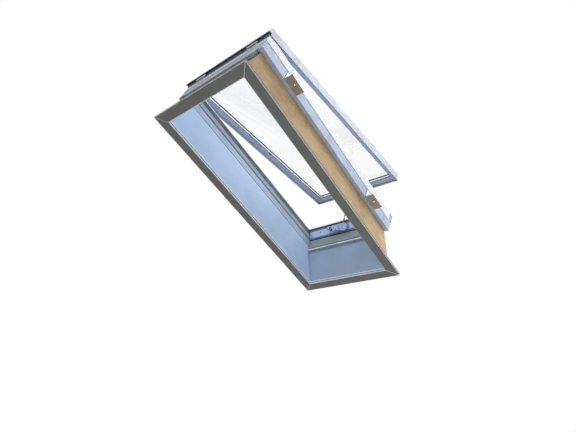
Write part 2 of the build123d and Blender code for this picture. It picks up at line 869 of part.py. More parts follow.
def worm_shaft():
    """The worm, its shaft through the housing's boss and the ring-eye that a pole turns."""
    worm_start = base_thickness + shaft_end_gap
    worm_end = 2 * shaft_n - worm_start
    ring_start = eye_distance - eye_outer_radius
    journal = Circle(crank_shaft_radius)
    shaft = extrude(worm_plane(worm_end) * journal, amount=ring_start + eye_root - worm_end)
    shaft += extrude(worm_plane(worm_start) * hexagon(worm_core_radius), amount=worm_end - worm_start)
    pitch = (worm_end - worm_start) / worm_turns
    for turn in range(worm_turns):
        low = worm_start + turn * pitch
        thread = RegularPolygon(worm_crest_radius, 8)
        shaft += extrude(worm_plane(low + pitch / 4) * thread, amount=pitch / 2)
    eye_centre = worm_plane(eye_distance).origin
    ring_plane = Plane(origin=eye_centre, x_dir=slope_out, z_dir=slope_plane.x_dir)
    ring = Circle(eye_outer_radius) - Circle(eye_inner_radius)
    return shaft + extrude(ring_plane * ring, amount=eye_thickness / 2, both=True)


# Push chain: worked out from the sprocket's centre to the open bracket's pin

sprocket_centre = slope_plane.from_local_coords(Vector(0, shaft_s, shaft_n))
open_pin_angle = atan2(sash_bracket_z - hinge_height, sash_bracket_y - hinge_y) - radians(open_angle)
open_pin_reach = hypot(sash_bracket_z - hinge_height, sash_bracket_y - hinge_y)
span_y = hinge_y + open_pin_reach * cos(open_pin_angle) - sprocket_centre.Y
span_z = hinge_height + open_pin_reach * sin(open_pin_angle) - sprocket_centre.Z
span = hypot(span_y, span_z)
radius_per_pitch = 1 / (2 * sin(pi / sprocket_teeth))
chain_links = round(span / nominal_pitch)
chain_pitch = span / hypot(chain_links, radius_per_pitch)
sprocket_radius = chain_pitch * radius_per_pitch
tangent_angle = atan2(span_z, span_y) - acos(sprocket_radius / span)
chain_start = sprocket_centre + Vector(0, cos(tangent_angle), sin(tangent_angle)) * sprocket_radius
chain_direction = Vector(0, -sin(tangent_angle), cos(tangent_angle))


def chain_joint(index):
    """The centre of one chain pin, counted from the sprocket."""
    return chain_start + chain_direction * (chain_pitch * index)


def plate_outline():
    """A link plate with cut corners."""
    half = plate_height / 2
    end = chain_pitch / 2 + half
    cut = half * corner_cut_share
    corners = [(end, half - cut), (end - cut, half), (cut - end, half), (-end, half - cut)]
    return closed_face(corners + [(-x, -y) for x, y in corners])


def chain_link(index):
    """One link: even links are the inner ones with rollers, odd links the outer ones with pins."""
    plane = Plane(origin=chain_joint(index + 0.5), x_dir=chain_direction, z_dir=(1, 0, 0))
    pins = [Pos(step * chain_pitch / 2, 0) for step in (-1, 1)]
    inner = index % 2 == 0
    near = roller_length / 2 if inner else roller_length / 2 + plate_thickness + plate_gap
    link = extrude(plane.offset(near) * plate_outline(), amount=plate_thickness)
    link += extrude(plane.offset(-near) * plate_outline(), amount=-plate_thickness)
    for pin in pins:
        if inner:
            link += extrude(plane * pin * hexagon(roller_radius), amount=near, both=True)
            bore = plane * pin * hexagon(chain_pin_radius + running_clearance)
            link -= extrude(bore, amount=near + plate_thickness, both=True)
        else:
            link += extrude(plane * pin * hexagon(chain_pin_radius), amount=near, both=True)
    return link


def chain():
    """The straight run of the push chain; its last link is drilled for the bracket's pin."""
    links = [chain_link(index) for index in range(chain_links)]
    end_plane = Plane(origin=chain_joint(chain_links), x_dir=chain_direction, z_dir=(1, 0, 0))
    end_eye = extrude(end_plane * hexagon(plate_height / 2), amount=roller_length / 2, both=True)
    end_bore = extrude(end_plane * Circle(bracket_pin_radius + running_clearance), amount=chain_slot, both=True)
    links[-1] = links[-1] + end_eye - end_bore
    return links


# Bracket on the sash

def sash_bracket_screw_planes():
    """Planes of the two screws that hold the bracket under the bottom rail."""
    y = (sash_bracket_root_y + sash_bottom_lip) / 2
    z = sash_underside - sash_bracket_thickness
    step = sash_bracket_width / 2 - 2 * screw_head_radius
    return [Plane(origin=(x - operator_x, y, z), x_dir=(1, 0, 0), z_dir=(0, 0, -1)) for x in (-step, step)]


def bracket_pin_plane(x):
    """A plane square to the bracket's pin at distance x from the chain."""
    return Plane(origin=(x - operator_x, sash_bracket_y, sash_bracket_z), x_dir=(0, 1, 0), z_dir=(1, 0, 0))


def sash_bracket():
    """A plate under the bottom rail that reaches over the sill, with two ears for the pin."""
    top_y = sash_bracket_y + ear_radius
    low_z = sash_underside - sash_bracket_thickness
    middle = (-operator_x, (sash_bracket_root_y + top_y) / 2)
    plate = Pos(*middle) * Rectangle(sash_bracket_width, top_y - sash_bracket_root_y)
    plate -= Pos(-operator_x, sash_bracket_y) * Rectangle(ear_gap, 4 * ear_radius)
    bracket = extrude(Plane.XY.offset(low_z) * plate, amount=sash_bracket_thickness)
    drop = sash_bracket_z - low_z
    cut = ear_radius * corner_cut_share
    ear = closed_face([(-ear_radius, -drop), (ear_radius, -drop), (ear_radius, ear_radius - cut),
                       (ear_radius - cut, ear_radius), (cut - ear_radius, ear_radius),
                       (-ear_radius, ear_radius - cut)])
    for x in (ear_gap / 2, -ear_gap / 2 - ear_thickness):
        bracket += extrude(bracket_pin_plane(x) * ear, amount=ear_thickness)
    bracket -= extrude(bracket_pin_plane(-ear_gap) * Circle(bracket_pin_radius), amount=2 * ear_gap)
    for plane in sash_bracket_screw_planes():
        bracket -= sunk_screw(plane)
    return bracket


def sash_bracket_pin():
    """The pin through the ears and the chain's last link."""
    half = ear_gap / 2 + ear_thickness
    pin = extrude(bracket_pin_plane(0) * Circle(bracket_pin_radius), amount=half, both=True)
    for x, height in ((-half, -bracket_pin_head_height), (half, bracket_pin_head_height)):
        pin += extrude(bracket_pin_plane(x) * hexagon(bracket_pin_head_radius), amount=height)
    return pin


nodes = {}
for side in ("left", "right", "head", "sill"):
    nodes["casing_" + side] = casing_board(side)
    nodes["frame_cap_" + side] = frame_cap(side)
for side, sign in (("left", 1), ("right", -1)):
    nodes["lining_" + side] = lining_side(sign)
    nodes["frame_" + side] = frame_side(sign)
    nodes["frame_seal_" + side] = frame_seal_side(sign)
    nodes["hinge_frame_leaf_" + side] = hinge_leaf(sign * hinge_position, "frame")
    nodes["hinge_sash_leaf_" + side] = opened(hinge_leaf(sign * hinge_position, "sash"))
    nodes["hinge_pin_" + side] = hinge_pin(sign * hinge_position)
    nodes["sash_stile_" + side] = opened(sash_member(side))
    nodes["sash_cover_" + side] = opened(sash_cover(side))
nodes["lining_head"] = lining_head()
nodes["lining_sill"] = lining_sill()
nodes["sill_nosing"] = sill_nosing()
nodes["frame_head"] = frame_head()
nodes["frame_sill"] = frame_sill()
nodes["frame_seal_head"] = frame_seal_head()
nodes["frame_seal_sill"] = frame_seal_sill()
nodes["bulb_seal"] = bulb_seal()
for place, (sign, y) in bracket_centres().items():
    nodes["bracket_" + place] = fixing_bracket(sign, y)
nodes["bracket_screws"] = bracket_screws()
nodes["sill_screws"] = [screw(plane) for plane in sill_screw_planes()]
nodes["sash_rail_head"] = opened(sash_member("head"))
nodes["sash_rail_bottom"] = opened(sash_member("sill"))
nodes["sash_cover_head"] = opened(sash_hood())
nodes["sash_cover_bottom"] = opened(sash_cover("sill"))
nodes["pane_inner"] = opened(pane(glass_bottom))
nodes["pane_outer"] = opened(pane(outer_pane_bottom))
nodes["glass_spacer"] = opened(glass_spacer())
nodes["glazing_tape_inner"] = opened(glazing_tape(glass_bottom - tape_thickness, tape_thickness))
nodes["glazing_tape_outer"] = opened(glazing_tape(glass_top, outer_tape_thickness))
nodes["hinge_screws_frame"] = [screw(plane) for plane in hinge_screw_planes("frame")]
nodes["hinge_screws_sash"] = [opened(screw(plane)) for plane in hinge_screw_planes("sash")]
nodes["operator_base"] = operator_base()
nodes["operator_housing"] = operator_housing()
nodes["operator_screws"] = [screw(plane) for plane in operator_screw_planes()]
nodes["drive_shaft"] = drive_shaft()
nodes["chain_sprocket"] = chain_sprocket()
nodes["worm_wheel"] = worm_wheel()
nodes["worm_shaft"] = worm_shaft()
nodes["chain"] = chain()
nodes["sash_bracket"] = opened(sash_bracket())
nodes["sash_bracket_pin"] = opened(sash_bracket_pin())
nodes["sash_bracket_screws"] = [opened(sunk_screw(plane)) for plane in sash_bracket_screw_planes()]

os.makedirs("parts", exist_ok=True)
for name, shape in nodes.items():
    solids = [solid for piece in (shape if isinstance(shape, list) else [shape]) for solid in piece.solids()]
    whole = solids[0] if len(solids) == 1 else Compound(children=solids)
    export_step(whole, "parts/" + name + ".step")
print("hinge axis y, z:", round(hinge_y, 3), hinge_height)
print("chain pitch, radius:", round(chain_pitch, 4), round(sprocket_radius, 4))
print("chain start:", chain_start, "open pin:", chain_joint(chain_links))
print("shaft centre:", sprocket_centre, "eye centre:", worm_plane(eye_distance).origin)
print("nodes:", len(nodes))
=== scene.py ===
import json

import bmesh
import bpy
import numpy as np
from mathutils import Matrix

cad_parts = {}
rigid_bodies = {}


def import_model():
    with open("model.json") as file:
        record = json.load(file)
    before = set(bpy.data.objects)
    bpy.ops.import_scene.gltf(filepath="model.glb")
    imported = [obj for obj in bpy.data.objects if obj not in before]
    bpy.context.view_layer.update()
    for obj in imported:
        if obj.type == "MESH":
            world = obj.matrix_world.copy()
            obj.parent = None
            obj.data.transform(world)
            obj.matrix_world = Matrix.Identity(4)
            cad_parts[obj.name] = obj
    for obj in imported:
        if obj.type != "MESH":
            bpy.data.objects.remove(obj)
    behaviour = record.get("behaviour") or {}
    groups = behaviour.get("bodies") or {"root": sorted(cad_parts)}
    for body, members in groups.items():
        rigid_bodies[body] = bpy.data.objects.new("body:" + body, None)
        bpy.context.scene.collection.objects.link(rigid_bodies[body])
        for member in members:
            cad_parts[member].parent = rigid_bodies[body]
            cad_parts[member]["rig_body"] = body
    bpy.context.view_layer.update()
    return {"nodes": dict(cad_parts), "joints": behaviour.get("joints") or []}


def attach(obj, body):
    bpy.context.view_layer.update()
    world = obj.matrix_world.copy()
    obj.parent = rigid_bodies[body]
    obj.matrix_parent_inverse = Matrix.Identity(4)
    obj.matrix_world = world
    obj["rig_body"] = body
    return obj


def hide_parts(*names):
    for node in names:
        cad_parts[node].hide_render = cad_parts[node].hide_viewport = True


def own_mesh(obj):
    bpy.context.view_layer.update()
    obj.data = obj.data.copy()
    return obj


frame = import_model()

# Roof skylight with its frame, light well and casing: looks, light and camera.
# Metres. +Z points out through the roof, +Y up the slope, the room is below.

nodes = frame["nodes"]
print("frame loaded:", len(nodes), "nodes")

# How the part stands open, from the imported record
swing = next(joint for joint in frame["joints"] if joint["name"] == "sash_hinge")
hingePoint = np.array(swing["pos_m"])
openAngle = np.radians(-min(swing["range_deg"]))


# Small helpers for materials

def newGroup(name, inputs, outputs):
    # A shader group. An input that starts at four numbers is a colour, one that starts at none is a vector
    # and the others are numbers; outputs are numbers too, apart from Colour
    group = bpy.data.node_groups.new(name, "ShaderNodeTree")
    for label, value in inputs.items():
        kind = "Vector" if value is None else "Color" if isinstance(value, tuple) else "Float"
        socket = group.interface.new_socket(name=label, in_out="INPUT", socket_type="NodeSocket" + kind)
        if value is not None:
            socket.default_value = value
    for label in outputs:
        kind = "Color" if label == "Colour" else "Float"
        group.interface.new_socket(name=label, in_out="OUTPUT", socket_type="NodeSocket" + kind)
    return group, group.nodes.new("NodeGroupInput").outputs, group.nodes.new("NodeGroupOutput")


def connect(tree, node, values):
    # Links sockets to the node's inputs, and sets plain values on them
    for name, value in values.items():
        if isinstance(value, bpy.types.NodeSocket):
            tree.links.new(value, node.inputs[name])
        else:
            node.inputs[name].default_value = value


def place(tree, kind, values=None, **settings):
    # Adds a node, with its settings and the values of its inputs
    node = tree.nodes.new(kind)
    for name, setting in settings.items():
        setattr(node, name, setting)
    connect(tree, node, values or {})
    return node


def useGroup(tree, group, **values):
    return place(tree, "ShaderNodeGroup", values, node_tree=group).outputs


def sums(tree, operation, *values):
    return place(tree, "ShaderNodeMath", dict(enumerate(values)), operation=operation).outputs[0]


def times(tree, first, second):
    return sums(tree, "MULTIPLY", first, second)


def objectPlace(tree):
    return place(tree, "ShaderNodeTexCoord").outputs["Object"]


def blendColours(tree, share, first, second):
    return place(tree, "ShaderNodeMix", {0: share, 6: first, 7: second}, data_type="RGBA").outputs[2]


def ramp(tree, value, low, high, toLow=0.0, toHigh=1.0):
    values = {"Value": value, "From Min": low, "From Max": high, "To Min": toLow, "To Max": toHigh}
    return place(tree, "ShaderNodeMapRange", values, interpolation_type="SMOOTHSTEP").outputs[0]


def noise(tree, place3d, scale, detail=4.0, roughness=0.55):
    values = {"Vector": place3d, "Scale": scale, "Detail": detail, "Roughness": roughness}
    return place(tree, "ShaderNodeTexNoise", values).outputs["Fac"]


def colour(seen):
    # A colour given as it looks on screen, 0 to 255, made linear
    value = np.array(seen) / 255
    linear = np.where(value < 0.04045, value / 12.92, ((value + 0.055) / 1.055) ** 2.4)
    return (*linear.tolist(), 1.0)


# Shared effects

def makeBrushedPaint():
    # Painted timber: long brush marks, faint grain under them, clouding from hand and damp
    group, given, result = newGroup("brushedPaint", {
        "Place": None, "Paint": (0.8, 0.8, 0.8, 1), "Shade": (0.6, 0.6, 0.6, 1), "Marks": 0.3,
        "Clouding": 0.4, "Gloss": 0.4}, ["Colour", "Roughness", "Height"])
    strokes = noise(group, given["Place"], 9.0, 6.0, 0.6)
    grain = noise(group, given["Place"], 3.1, 3.0, 0.5)
    where = objectPlace(group)
    cloud = noise(group, where, 7.0, 5.0, 0.62)
    speck = noise(group, where, 420.0, 2.0, 0.5)
    marked = times(group, ramp(group, strokes, 0.42, 0.68), given["Marks"])
    clouded = times(group, ramp(group, cloud, 0.4, 0.72), given["Clouding"])
    share = sums(group, "ADD", marked, clouded)
    share = sums(group, "ADD", share, ramp(group, speck, 0.6, 0.75, 0.0, 0.07))
    rough = sums(group, "MULTIPLY_ADD", strokes, 0.22, given["Gloss"])
    height = sums(group, "MULTIPLY_ADD", strokes, 0.6, times(group, grain, 0.5))
    connect(group, result, {
        "Colour": blendColours(group, share, given["Paint"], given["Shade"]),
        "Roughness": sums(group, "MULTIPLY_ADD", clouded, 0.25, rough),
        "Height": sums(group, "MULTIPLY_ADD", speck, 0.12, height)})
    return group


def makeCornerDustAndShade():
    # Dust and painted shade that gather where surfaces meet and in hollows, broken up by a soft noise
    group, given, result = newGroup("cornerDustAndShade", {"Reach": 0.02, "Amount": 0.5}, ["Mask"])
    hollow = place(group, "ShaderNodeAmbientOcclusion", {"Distance": given["Reach"]}, samples=6)
    where = objectPlace(group)
    patch = ramp(group, noise(group, where, 38.0, 5.0, 0.6), 0.3, 0.7, 0.55, 1.0)
    near = ramp(group, hollow.outputs["AO"], 0.25, 0.9, 1.0, 0.0)
    mask = times(group, times(group, near, patch), given["Amount"])
    connect(group, result, {"Mask": mask})
    return group


def makeEdgeWearAndGlint():
    # Rubbed edges, which on the operator's cover are partly painted glints: where the rounded normal leaves
    # the flat one, broken up by a fine noise
    group, given, result = newGroup("edgeWearAndGlint", {"Width": 0.0015, "Amount": 0.5}, ["Mask"])
    rounded = place(group, "ShaderNodeBevel", {"Radius": given["Width"]}, samples=4)
    flat = place(group, "ShaderNodeNewGeometry").outputs["True Normal"]
    along = place(group, "ShaderNodeVectorMath", {0: rounded.outputs[0], 1: flat}, operation="DOT_PRODUCT")
    where = objectPlace(group)
    broken = ramp(group, noise(group, where, 160.0, 5.0, 0.65), 0.38, 0.66)
    edge = ramp(group, along.outputs["Value"], 0.8, 0.995, 1.0, 0.0)
    mask = times(group, times(group, edge, broken), given["Amount"])
    connect(group, result, {"Mask": mask})
    return group


def makeMetalSkin():
    # Plated or lacquered metal: cloudy patches, fine streaks and small pits
    group, given, result = newGroup("metalSkin", {
        "Metal": (0.6, 0.6, 0.6, 1), "Patch": (0.4, 0.4, 0.4, 1), "Scale": 60.0, "Patches": 0.5, "Pits": 0.3,
        "Gloss": 0.3}, ["Colour", "Roughness", "Height"])
    where = objectPlace(group)
    cloud = noise(group, where, given["Scale"], 6.0, 0.6)
    fine = noise(group, where, times(group, given["Scale"], 9.0), 3.0, 0.6)
    pit = place(group, "ShaderNodeTexVoronoi",
                {"Vector": where, "Scale": times(group, given["Scale"], 7.0)}).outputs["Distance"]
    pitted = times(group, ramp(group, pit, 0.12, 0.3, 1.0, 0.0), given["Pits"])
    share = times(group, ramp(group, cloud, 0.4, 0.68), given["Patches"])
    share = sums(group, "ADD", share, times(group, pitted, 0.6))
    rough = sums(group, "MULTIPLY_ADD", cloud, 0.2, given["Gloss"])
    connect(group, result, {
        "Colour": blendColours(group, share, given["Metal"], given["Patch"]),
        "Roughness": sums(group, "MULTIPLY_ADD", fine, 0.12, rough),
        "Height": sums(group, "SUBTRACT", times(group, fine, 0.4), pitted)})
    return group


def makeJointLine():
    # Mask of a level line, used for dirt, for painted shadow and for painted highlight: full within Half of
    # the height At, gone a Fade further away, broken up by noise
    group, given, result = newGroup(
        "jointLine", {"At": 0.0, "Half": 0.002, "Fade": 0.003, "Amount": 0.8}, ["Mask"])
    where = objectPlace(group)
    height = place(group, "ShaderNodeSeparateXYZ", {0: where}).outputs["Z"]
    away = sums(group, "ABSOLUTE", sums(group, "SUBTRACT", height, given["At"]))
    near = ramp(group, away, given["Half"], sums(group, "ADD", given["Half"], given["Fade"]), 1.0, 0.0)
    broken = ramp(group, noise(group, where, 55.0, 5.0, 0.6), 0.3, 0.65, 0.72, 1.0)
    mask = times(group, times(group, near, broken), given["Amount"])
    connect(group, result, {"Mask": mask})
    return group


brushedPaint = makeBrushedPaint()
cornerDustAndShade = makeCornerDustAndShade()
edgeWearAndGlint = makeEdgeWearAndGlint()
metalSkin = makeMetalSkin()
jointLine = makeJointLine()


def newMaterial(name):
    material = bpy.data.materials.new(name)
    material.use_nodes = True
    tree = material.node_tree
    return material, tree, tree.nodes["Principled BSDF"]


def relief(tree, height, distance):
    values = {"Height": height, "Distance": distance, "Strength": 0.35}
    return place(tree, "ShaderNodeBump", values).outputs["Normal"]


def weather(tree, shader, look, skin):
    # Dust and painted shade in the corners, rubbed edges with painted glints, and joint lines over the colour
    # of a skin; the dust and shade roughen it
    dust = useGroup(tree, cornerDustAndShade, Reach=look["dustAndShadeReach"], Amount=look["dust"])["Mask"]
    wornAndGlint = useGroup(tree, edgeWearAndGlint, Width=look["wearAndGlintWidth"], Amount=look["wear"])["Mask"]
    dustyAndShaded = blendColours(tree, dust, skin["Colour"], colour(look["dustAndShadeColour"]))
    finished = blendColours(tree, wornAndGlint, dustyAndShaded, colour(look["bare"]))
    for at, half, fade, amount, filling in look.get("joints", ()):
        line = useGroup(tree, jointLine, At=at, Half=half, Fade=fade, Amount=amount)["Mask"]
        finished = blendColours(tree, line, finished, colour(filling))
    connect(tree, shader, {
        "Base Color": finished, "Roughness": sums(tree, "MULTIPLY_ADD", dust, 0.3, skin["Roughness"]),
        "Normal": relief(tree, skin["Height"], look["relief"])})


def paintedTimber(name, look, stretch):
    # stretch is how much the pattern is drawn out along X, Y and Z
    material, tree, shader = newMaterial(name)
    mapped = place(tree, "ShaderNodeMapping", {"Vector": objectPlace(tree), "Scale": stretch}).outputs[0]
    skin = useGroup(tree, brushedPaint, Place=mapped, Paint=colour(look["paint"]),
                    Shade=colour(look["shade"]), Marks=look["marks"], Clouding=look["clouding"],
                    Gloss=look["gloss"])
    weather(tree, shader, look, skin)
    return material


def coatedMetal(name, look):
    material, tree, shader = newMaterial(name)
    skin = useGroup(tree, metalSkin, Metal=colour(look["metal"]), Patch=colour(look["patch"]),
                    Scale=look["scale"], Patches=look["patches"], Pits=look["pits"], Gloss=look["gloss"])
    weather(tree, shader, look, skin)
    connect(tree, shader, {"Metallic": look["metallic"]})
    return material


def softRubber(name, look):
    material, tree, shader = newMaterial(name)
    where = objectPlace(tree)
    fine = noise(tree, where, 900.0, 3.0, 0.6)
    bloom = ramp(tree, noise(tree, where, 26.0, 6.0, 0.65), 0.42, 0.7, 0.0, look["bloom"])
    dust = useGroup(tree, cornerDustAndShade, Reach=0.012, Amount=look["dust"])["Mask"]
    greyed = blendColours(tree, bloom, colour(look["rubber"]), colour(look["grey"]))
    connect(tree, shader, {
        "Base Color": blendColours(tree, dust, greyed, colour(look["dustAndShadeColour"])),
        "Roughness": sums(tree, "MULTIPLY_ADD", fine, 0.2, look["gloss"]),
        "Normal": relief(tree, fine, 0.00025)})
    return material


# Finishes. Colours are as seen on screen; a user repaints the part here.
# Joints are level lines of dirt, of painted shadow and of painted highlight: (height, half width, fade,
# amount, colour)
# Joint colours: near-black dirt in a joint, a grey painted shadow and a near-white painted highlight
dirtInJoint, sillShadow, arrisHighlight = (12, 20, 32), (76, 92, 112), (236, 246, 255)
# The casing's front: its white paint written grey, as painted shade
shadedCasingLook = {
    "paint": (106, 108, 104), "shade": (92, 94, 90), "bare": (150, 150, 144),
    "dustAndShadeColour": (52, 52, 50), "marks": 0.35, "clouding": 0.45, "gloss": 0.42, "dust": 0.55,
    "dustAndShadeReach": 0.012, "wearAndGlintWidth": 0.0018, "wear": 0.35, "relief": 0.0005}
# The casing's edge at the opening and its roundings: the same white paint written bright, as painted light
litCasingEdgeLook = {
    **shadedCasingLook, "paint": (232, 237, 245), "shade": (212, 218, 228),
    "bare": (224, 228, 232), "dust": 0.1, "joints": [(0.0102, 0.0018, 0.0004, 1.0, dirtInJoint)]}
liningLook = {
    "paint": (184, 203, 234), "shade": (164, 184, 214), "bare": (210, 222, 240),
    "dustAndShadeColour": (92, 106, 118), "marks": 0.3, "clouding": 0.45, "gloss": 0.4, "dust": 0.6,
    "dustAndShadeReach": 0.022, "wearAndGlintWidth": 0.0015, "wear": 0.25, "relief": 0.0005,
    # The near-white line at the front is painted highlight on the lining's arris
    "joints": [(0.0140, 0.0022, 0.0008, 0.9, arrisHighlight), (0.2065, 0.0018, 0.0004, 1.0, dirtInJoint)]}
# The sill lining: the lining paint written darker, as painted shade, with a painted shadow under the nosing
shadedSillLiningLook = {
    **liningLook, "paint": (164, 183, 210), "shade": (146, 164, 188),
    "joints": [(0.0140, 0.0022, 0.0008, 0.9, arrisHighlight),
               (0.1740, 0.0075, 0.0120, 0.72, (66, 78, 84))]}
frameLook = {
    "paint": (166, 181, 204), "shade": (140, 153, 170), "bare": (206, 214, 226),
    "dustAndShadeColour": (72, 84, 92), "marks": 0.2, "clouding": 0.5, "gloss": 0.34, "dust": 0.85,
    "dustAndShadeReach": 0.014, "wearAndGlintWidth": 0.0015, "wear": 0.3, "relief": 0.0003}
# The band above the groove of the frame members: the frame paint written darker, as painted shade under the
# seal
shadedUpperFrameLook = {
    **frameLook, "paint": (142, 154, 168), "shade": (118, 130, 142), "dust": 0.9}
# The frame members' groove: the frame paint written darker, as painted shade in the recess
shadedSideGrooveLook = {
    **frameLook, "paint": (118, 133, 146), "shade": (98, 112, 124), "dust": 0.9,
    "dustAndShadeColour": (58, 68, 76)}
# The sill's plumb face: the frame paint written brighter, as painted light; its wide dark corner colour is
# painted shadow under and around the operator, and its two grey lines are painted shadow above the groove and
# under the seal
sillLitAndShadedLook = {
    **frameLook, "paint": (205, 217, 255), "shade": (176, 190, 240),
    "dustAndShadeColour": (16, 28, 44), "dust": 1.0, "dustAndShadeReach": 0.048,
    "joints": [(0.2524, 0.0088, 0.0020, 0.95, sillShadow), (0.3040, 0.0075, 0.0035, 0.9, sillShadow)]}
# The lower band: the frame paint written greyer, as painted shade; a dark line at its top is painted shadow
# at the groove and a light strip at its foot is painted light
shadedBandLook = {
    **frameLook, "paint": (150, 158, 162), "shade": (122, 130, 130), "dust": 0.85,
    "joints": [(0.2454, 0.0010, 0.0020, 0.9, (40, 46, 50)),
               (0.2000, 0.0030, 0.0020, 0.5, (176, 186, 190))]}
# The dark line above the bead is painted shadow in the quirk
nosingLook = {
    **frameLook, "paint": (170, 180, 184), "shade": (144, 154, 156), "dust": 0.3,
    "joints": [(0.1902, 0.0034, 0.0008, 0.95, (46, 54, 62))]}
# The sill's groove: the frame paint written near black, as painted shadow in the recess
grooveShadowLook = {
    **frameLook, "paint": (30, 34, 46), "shade": (22, 24, 34), "bare": (50, 54, 66),
    "dust": 0.9, "dustAndShadeColour": (14, 15, 20)}
sashLook = {
    "paint": (168, 184, 214), "shade": (146, 162, 194), "bare": (164, 178, 204),
    "dustAndShadeColour": (72, 88, 112), "marks": 0.25, "clouding": 0.5, "gloss": 0.34, "dust": 0.6,
    "dustAndShadeReach": 0.016, "wearAndGlintWidth": 0.0012, "wear": 0.2, "relief": 0.0003}
railLook = {
    **sashLook, "paint": (182, 192, 208), "shade": (160, 170, 184)}
# The narrow faces round the glass: the sash paint written darker, as painted shade
shadedRebateLook = {
    **sashLook, "paint": (84, 100, 126), "shade": (70, 86, 110), "bare": (92, 106, 130)}
timberLook = {
    "paint": (206, 180, 140), "shade": (172, 140, 98), "bare": (222, 202, 168),
    "dustAndShadeColour": (120, 104, 84), "marks": 0.9, "clouding": 0.35, "gloss": 0.62, "dust": 0.5,
    "dustAndShadeReach": 0.012, "wearAndGlintWidth": 0.0012, "wear": 0.25, "relief": 0.0006}

alongX = (2.0, 55.0, 55.0)
alongY = (55.0, 2.0, 55.0)


def bothWays(name, look):
    # The same paint with its marks along X and along Y
    return paintedTimber(name + "AlongX", look, alongX), paintedTimber(name + "AlongY", look, alongY)


shadedCasingAlongX, shadedCasingAlongY = bothWays("casingPaint", shadedCasingLook)
litCasingEdgeAlongX, litCasingEdgeAlongY = bothWays("casingEdge", litCasingEdgeLook)
liningAlongX, liningAlongY = bothWays("liningPaint", liningLook)
frameAlongX, frameAlongY = bothWays("framePaint", frameLook)
shadedUpperAlongX, shadedUpperAlongY = bothWays("upperFrame", shadedUpperFrameLook)
shadedSideGrooveAlongX, shadedSideGrooveAlongY = bothWays("shadedSideGroove", shadedSideGrooveLook)
shadedRebateAlongX, shadedRebateAlongY = bothWays("shadedSashRebate", shadedRebateLook)
timberAlongX, timberAlongY = bothWays("bareTimber", timberLook)
liningSillPaint = paintedTimber("liningSillPaint", shadedSillLiningLook, alongX)
sillPaint = paintedTimber("sillPaint", sillLitAndShadedLook, alongX)
shadedLowerBandPaint = paintedTimber("shadedLowerBandPaint", shadedBandLook, alongX)
grooveShadowPaint = paintedTimber("grooveShadowPaint", grooveShadowLook, alongX)
nosingPaint = paintedTimber("nosingPaint", nosingLook, alongX)
# The bead: the nosing's paint written brighter, as painted highlight
beadPaint = paintedTimber("beadPaint", {**frameLook, "paint": (248, 251, 252), "dust": 0.2}, alongX)
sashAlongX = paintedTimber("sashPaintAlongX", railLook, alongX)
sashAlongY = paintedTimber("sashPaintAlongY", sashLook, alongY)

metalBase = {
    "scale": 40.0, "patches": 0.5, "pits": 0.2, "gloss": 0.3, "dust": 0.5, "dustAndShadeReach": 0.01,
    "dustAndShadeColour": (96, 96, 98), "bare": (220, 220, 222), "wearAndGlintWidth": 0.0008, "wear": 0.5,
    "metallic": 1.0, "relief": 0.0002}
capMetal = coatedMetal("capAluminium", {
    **metalBase, "metal": (206, 210, 217), "patch": (184, 189, 197), "gloss": 0.4, "pits": 0.12,
    "metallic": 0.3})
coverMetal = coatedMetal("coverAluminium", {
    **metalBase, "metal": (178, 184, 192), "patch": (158, 164, 172), "scale": 18.0,
    "metallic": 0.3, "gloss": 0.42, "dustAndShadeColour": (150, 148, 140)})
spacerMetal = coatedMetal("spacerAluminium", {
    **metalBase, "metal": (246, 249, 253), "patch": (232, 237, 244), "gloss": 0.3, "dust": 0.0,
    "metallic": 0.6})
zincSteel = coatedMetal("zincSteel", {
    **metalBase, "metal": (186, 189, 194), "patch": (150, 154, 162), "scale": 90.0,
    "patches": 0.7, "gloss": 0.26})
gearSteel = coatedMetal("gearSteel", {
    **metalBase, "metal": (150, 151, 154), "patch": (104, 102, 98), "scale": 120.0,
    "patches": 0.6, "gloss": 0.28, "dustAndShadeColour": (52, 46, 38)})
chainSteel = coatedMetal("chainSteel", {
    **metalBase, "metal": (128, 128, 130), "patch": (88, 82, 76), "scale": 150.0,
    "patches": 0.7, "gloss": 0.3, "dustAndShadeColour": (40, 36, 32), "dustAndShadeReach": 0.004})
# The cover: its dark corner colour is painted shade under and beside the cover as well as dust, and its
# near-white edge colour is painted glint as well as wear
castMetal = coatedMetal("castMetal", {
    **metalBase, "metal": (200, 214, 252), "patch": (122, 138, 200), "scale": 85.0,
    "patches": 0.7, "pits": 0.9, "gloss": 0.36, "metallic": 0.2, "dust": 0.85, "dustAndShadeReach": 0.026,
    "dustAndShadeColour": (26, 34, 62), "bare": (224, 232, 252), "wearAndGlintWidth": 0.0018, "relief": 0.0006})
bossMetal = coatedMetal("bossChrome", {
    **metalBase, "metal": (236, 242, 246), "patch": (214, 222, 230), "scale": 160.0,
    "patches": 0.3, "gloss": 0.12, "dust": 0.3, "dustAndShadeReach": 0.002})
baseMetal = coatedMetal("baseMetal", {
    **metalBase, "metal": (86, 88, 94), "patch": (64, 66, 72), "metallic": 0.4, "gloss": 0.45})
darkSteel = coatedMetal("darkSteel", {
    **metalBase, "metal": (34, 42, 56), "patch": (22, 27, 38), "scale": 130.0,
    "patches": 0.6, "metallic": 0.5, "gloss": 0.3, "dustAndShadeColour": (20, 22, 28),
    "bare": (120, 126, 136)})

sealRubber = softRubber("sealRubber", {
    "rubber": (58, 70, 80), "grey": (90, 102, 112), "bloom": 0.7, "dust": 0.4,
    "dustAndShadeColour": (60, 70, 78), "gloss": 0.6})
tapeRubber = softRubber("tapeRubber", {
    "rubber": (26, 30, 36), "grey": (48, 54, 62), "bloom": 0.4, "dust": 0.2,
    "dustAndShadeColour": (60, 62, 64), "gloss": 0.55})


